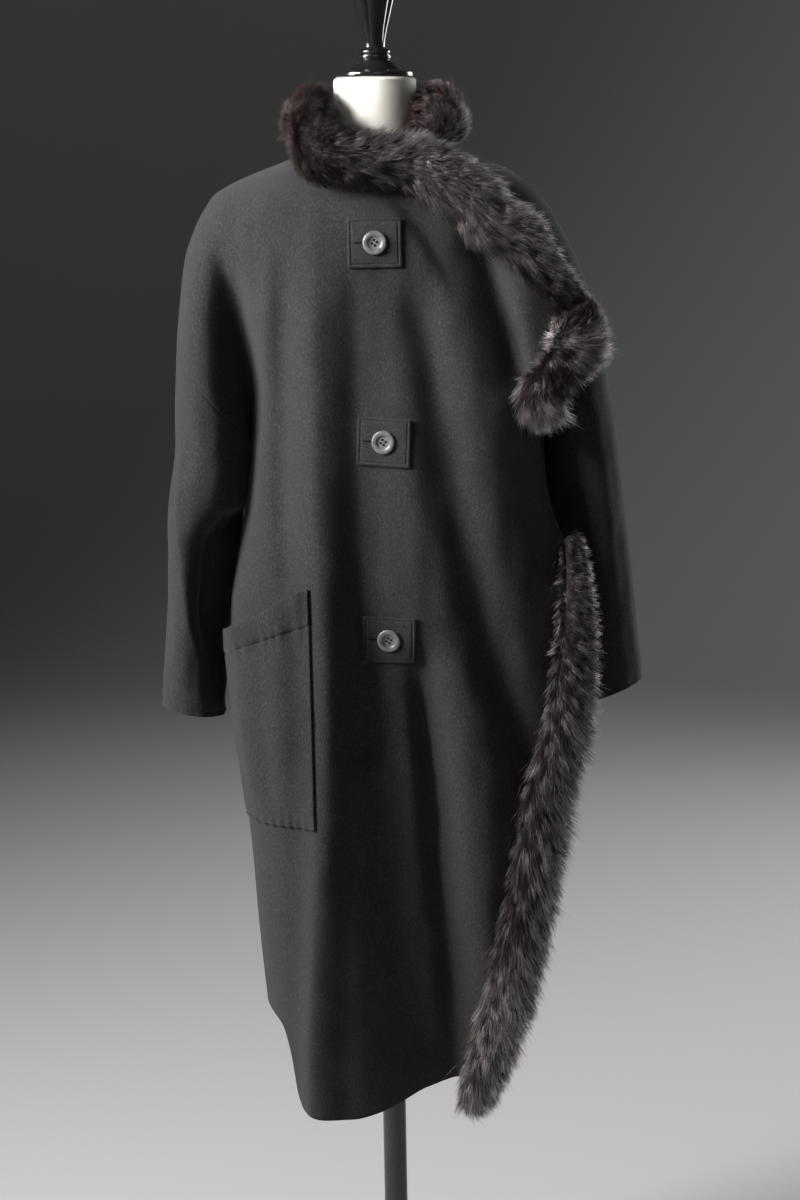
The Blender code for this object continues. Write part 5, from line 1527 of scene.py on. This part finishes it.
def hair_finish():
    """Hair that is maroon-brown at its root and silver grey towards its tip, with browner hairs among it. Its
    near-black root end is partly the hair's own colour and partly painted shade deep in the fur.
    """
    finish = Finish("silver brown fur", roughness=0.45, specular_ior_level=0.30)
    strand, lock = (
        finish.node("SeparateXYZ", Vector=finish.node("UVMap", {"uv_map": name}).outputs["UV"])
        for name in ("strand", "lock")
    )
    along = strand.outputs["Y"]
    # near black at the root: partly the hair's colour, partly painted shade among the hairs
    silver = finish.ramp(along, (0.0, (0.004, 0.002, 0.002)), (0.45, (0.022, 0.013, 0.012)),
                         (0.70, (0.340, 0.300, 0.295)), (1.0, (0.900, 0.850, 0.845)))
    brown = finish.ramp(along, (0.0, (0.003, 0.001, 0.001)), (0.55, (0.009, 0.0035, 0.003)),
                        (1.0, (0.036, 0.0155, 0.0145)))
    colour = finish.mix(lock.outputs["X"], silver, brown)
    tone = finish.range(strand.outputs["X"], 0.15, 0.85, 0.14, 1.95)
    scale = finish.node("VectorMath", {"operation": "SCALE"})
    finish.join(scale.inputs[0], colour)
    finish.join(scale.inputs["Scale"], tone)
    finish.colour(scale.outputs["Vector"])
    return finish.material


def skin_finish():
    """The dense dark underfur."""
    finish = Finish("dark underfur", roughness=0.8, sheen_weight=0.2)
    tufts = finish.noise(finish.place(), 260.0, 3.0, 0.6)
    finish.mottle(tufts, (0.3, (0.006, 0.003, 0.003)), (0.75, (0.030, 0.017, 0.015)), 0.002)
    return finish.material


def linen_finish():
    """Smooth cream canvas on the form, close woven and faintly uneven."""
    finish = Finish("cream canvas", roughness=0.62, specular_ior_level=0.35)
    clouds = finish.noise(finish.place(), 22.0, 3.0, 0.5)
    finish.colour(finish.ramp(clouds, (0.3, (0.74, 0.71, 0.64)), (0.7, (0.82, 0.79, 0.72))))
    weave = finish.noise(finish.place((1.0, 1.0, 1.4)), 1600.0, 1.0, 0.5)
    finish.bump(weave, 0.00012, 0.6)
    return finish.material


def thread_finish():
    """Black sewing thread, twisted."""
    finish = Finish("black thread", roughness=0.6, sheen_weight=0.04)
    twist = finish.noise(finish.place(), 2400.0)
    # black thread; on the buttonhole slots its near black also serves as painted shade
    finish.mottle(twist, (0.3, (0.004, 0.004, 0.004)), (0.7, (0.012, 0.012, 0.013)), 0.0001)
    return finish.material


def horn_finish():
    """Polished grey button horn, faintly clouded, with painted shade going near black down into its holes."""
    finish = Finish("grey horn", roughness=0.26, coat_weight=0.35, coat_roughness=0.10)
    clouds = finish.noise(finish.place(), 150.0, 3.0, 0.55, 0.6)
    horn = finish.ramp(clouds, (0.3, (0.105, 0.103, 0.108)), (0.7, (0.175, 0.172, 0.178)))
    # painted shade: near black at the floor of each hole, fading up its walls
    sunk = finish.node("Attribute", {"attribute_name": "sunk"}).outputs["Fac"]
    finish.colour(finish.mix(sunk, horn, (0.004, 0.004, 0.004, 1.0)))
    finish.bump(clouds, 0.0001, 0.4)
    return finish.material


def lacquer_finish():
    """Glossy black lacquer over turned wood, with the grain faintly telling."""
    finish = Finish("black lacquer", roughness=0.16, coat_weight=0.6, coat_roughness=0.05)
    grain = finish.noise(finish.place((1.0, 1.0, 0.12)), 180.0)
    finish.mottle(grain, (0.3, (0.006, 0.006, 0.006)), (0.8, (0.016, 0.015, 0.014)), 0.00015, 0.35)
    return finish.material


def metal_finish():
    """Black paint on cast iron and steel, with a fine peel."""
    finish = Finish("black painted metal", roughness=0.30, coat_weight=0.25, coat_roughness=0.12)
    peel = finish.noise(finish.place(), 320.0)
    finish.mottle(peel, (0.3, (0.010, 0.010, 0.011)), (0.8, (0.020, 0.020, 0.021)), 0.0001, 0.4)
    return finish.material


# ---------------------------------------------------------------- stage
WALL_RADIUS = 7.0
WALL_TOP = 4.5
FLOOR_CURVE = 3.0
Light = namedtuple("Light", "name place target energy size tall spread")
LIGHTS = (
    Light("key", (-2.78, -0.96, 2.5), (0.0, 0.0, 1.15), 86, 1.1, 2.0, 100),
    Light("fill", (0.6, -3.4, 2.6), (0.0, 0.0, 1.2), 1.8, 1.6, 1.0, 120),
    Light("neck light", (-1.85, -1.55, 2.5), (0.05, -0.10, 1.53), 1.3, 0.6, 1.0, 15),
    Light("back light", (2.9, 2.5, 1.7), (0.0, 0.0, 1.0), 38, 2.0, 1.0, 120),
)
CAMERA_PLACE = (0.0186, -3.0, 1.478)
CAMERA_PITCH = 10.07  # degrees down
CAMERA_ROLL = 1.04


def make_floor():
    """A seamless pale floor that rises into a round wall."""
    flat = WALL_RADIUS - FLOOR_CURVE
    outline_points = [(0.0, 0.0), (flat, 0.0)]
    for turn in np.linspace(0.0, math.pi / 2, 17)[1:]:
        radius = WALL_RADIUS - FLOOR_CURVE * (1 - math.sin(turn))
        outline_points.append((radius, FLOOR_CURVE * (1 - math.cos(turn))))
    outline_points.append((WALL_RADIUS, WALL_TOP))
    bm = spun(outline_points, 96)
    bmesh.ops.recalc_face_normals(bm, faces=bm.faces[:])
    bmesh.ops.reverse_faces(bm, faces=bm.faces[:])
    finish = Finish("pale floor", base_color=(0.52, 0.52, 0.52, 1.0), roughness=0.9)
    floor = add_piece("floor", bm, finish.material)


def make_lights():
    """Soft studio light, and a faint grey all round."""
    for light in LIGHTS:
        lamp = bpy.data.lights.new(light.name, "AREA")
        lamp.energy = light.energy
        lamp.shape = "RECTANGLE"
        lamp.size = light.size
        lamp.size_y = light.size * light.tall
        lamp.spread = math.radians(light.spread)
        made = linked(light.name, lamp)
        made.location = light.place
        way = Vector(light.target) - Vector(light.place)
        made.rotation_euler = way.to_track_quat("-Z", "Y").to_euler()
    world = bpy.data.worlds.new("studio")
    world.use_nodes = True
    background = world.node_tree.nodes["Background"]
    background.inputs["Color"].default_value = (0.55, 0.56, 0.58, 1.0)
    background.inputs["Strength"].default_value = 0.05
    bpy.context.scene.world = world


def make_camera():
    """The camera, which looks along +Y, a little down and a little rolled."""
    pitch, roll = math.radians(CAMERA_PITCH), math.radians(CAMERA_ROLL)
    forward = Vector((0.0, math.cos(pitch), -math.sin(pitch)))
    level_up = Vector((0.0, math.sin(pitch), math.cos(pitch)))
    level_right = Vector((1.0, 0.0, 0.0))
    up = level_up * math.cos(roll) + level_right * math.sin(roll)
    right = level_right * math.cos(roll) - level_up * math.sin(roll)
    lens = bpy.data.cameras.new("camera")
    lens.sensor_fit = "VERTICAL"
    lens.sensor_height = 24.0
    lens.lens = 50.0
    camera = linked("camera", lens)
    turn = Matrix((right, up, -forward)).transposed().to_4x4()
    turn.translation = Vector(CAMERA_PLACE)
    camera.matrix_world = turn
    bpy.context.scene.camera = camera
    bpy.context.scene.view_settings.view_transform = "Standard"


wool = wool_finish()
hair = hair_finish()
skin = skin_finish()
linen = linen_finish()
make_back(wool)
make_wide_front(wool)
make_under_front(wool)
make_sleeve("right", ARM_RIGHT, -1, CUFF_RIGHT, RIGHT_SLEEVE_CREASES, wool)
make_sleeve("left", ARM_LEFT, 1, CUFF_LEFT, LEFT_SLEEVE_CREASES, wool)
make_pocket(wool)
horn = horn_finish()
for number, tab in enumerate(TABS, start=1):
    make_tab(number, tab, wool)
    make_button(number, tab, horn)
bars = np.concatenate([bars for bars, _ in SEWING])
outward = np.concatenate([outward for _, outward in SEWING])
settle(thread_mesh("coat_stitches", bars, outward, thread_finish()), "wool")

band = Stretch(collar_frames() + strip_frames(FUR_UPPER + FUR_TURNED, FRONT_FUR_CLEAR))
collar_end = band.places[COLLAR_ROWS - 1]
upper_end = band.places[COLLAR_ROWS - 1 + len(FUR_UPPER)]
edge = Stretch(strip_frames(FUR_LOWER, EDGE_FUR_CLEAR))
make_fur("fur_collar", "fur_collar", band, band.low, collar_end, COLLAR_GROWTH, 1, skin, hair)
make_fur("fur_upper", "fur_front_upper", band, collar_end, upper_end, UPPER_GROWTH, 2, skin, hair)
make_fur("fur_turned", "fur_front_turned", band, upper_end, band.high, TURNED_GROWTH, 3, skin, hair)
make_fur("fur_edge", "fur_front_lower", edge, edge.low, edge.high, EDGE_GROWTH, 4, skin, hair)

make_form_body(linen)
make_neck(linen)
make_finial(lacquer_finish())
make_stand(metal_finish())
make_floor()
make_lights()
make_camera()
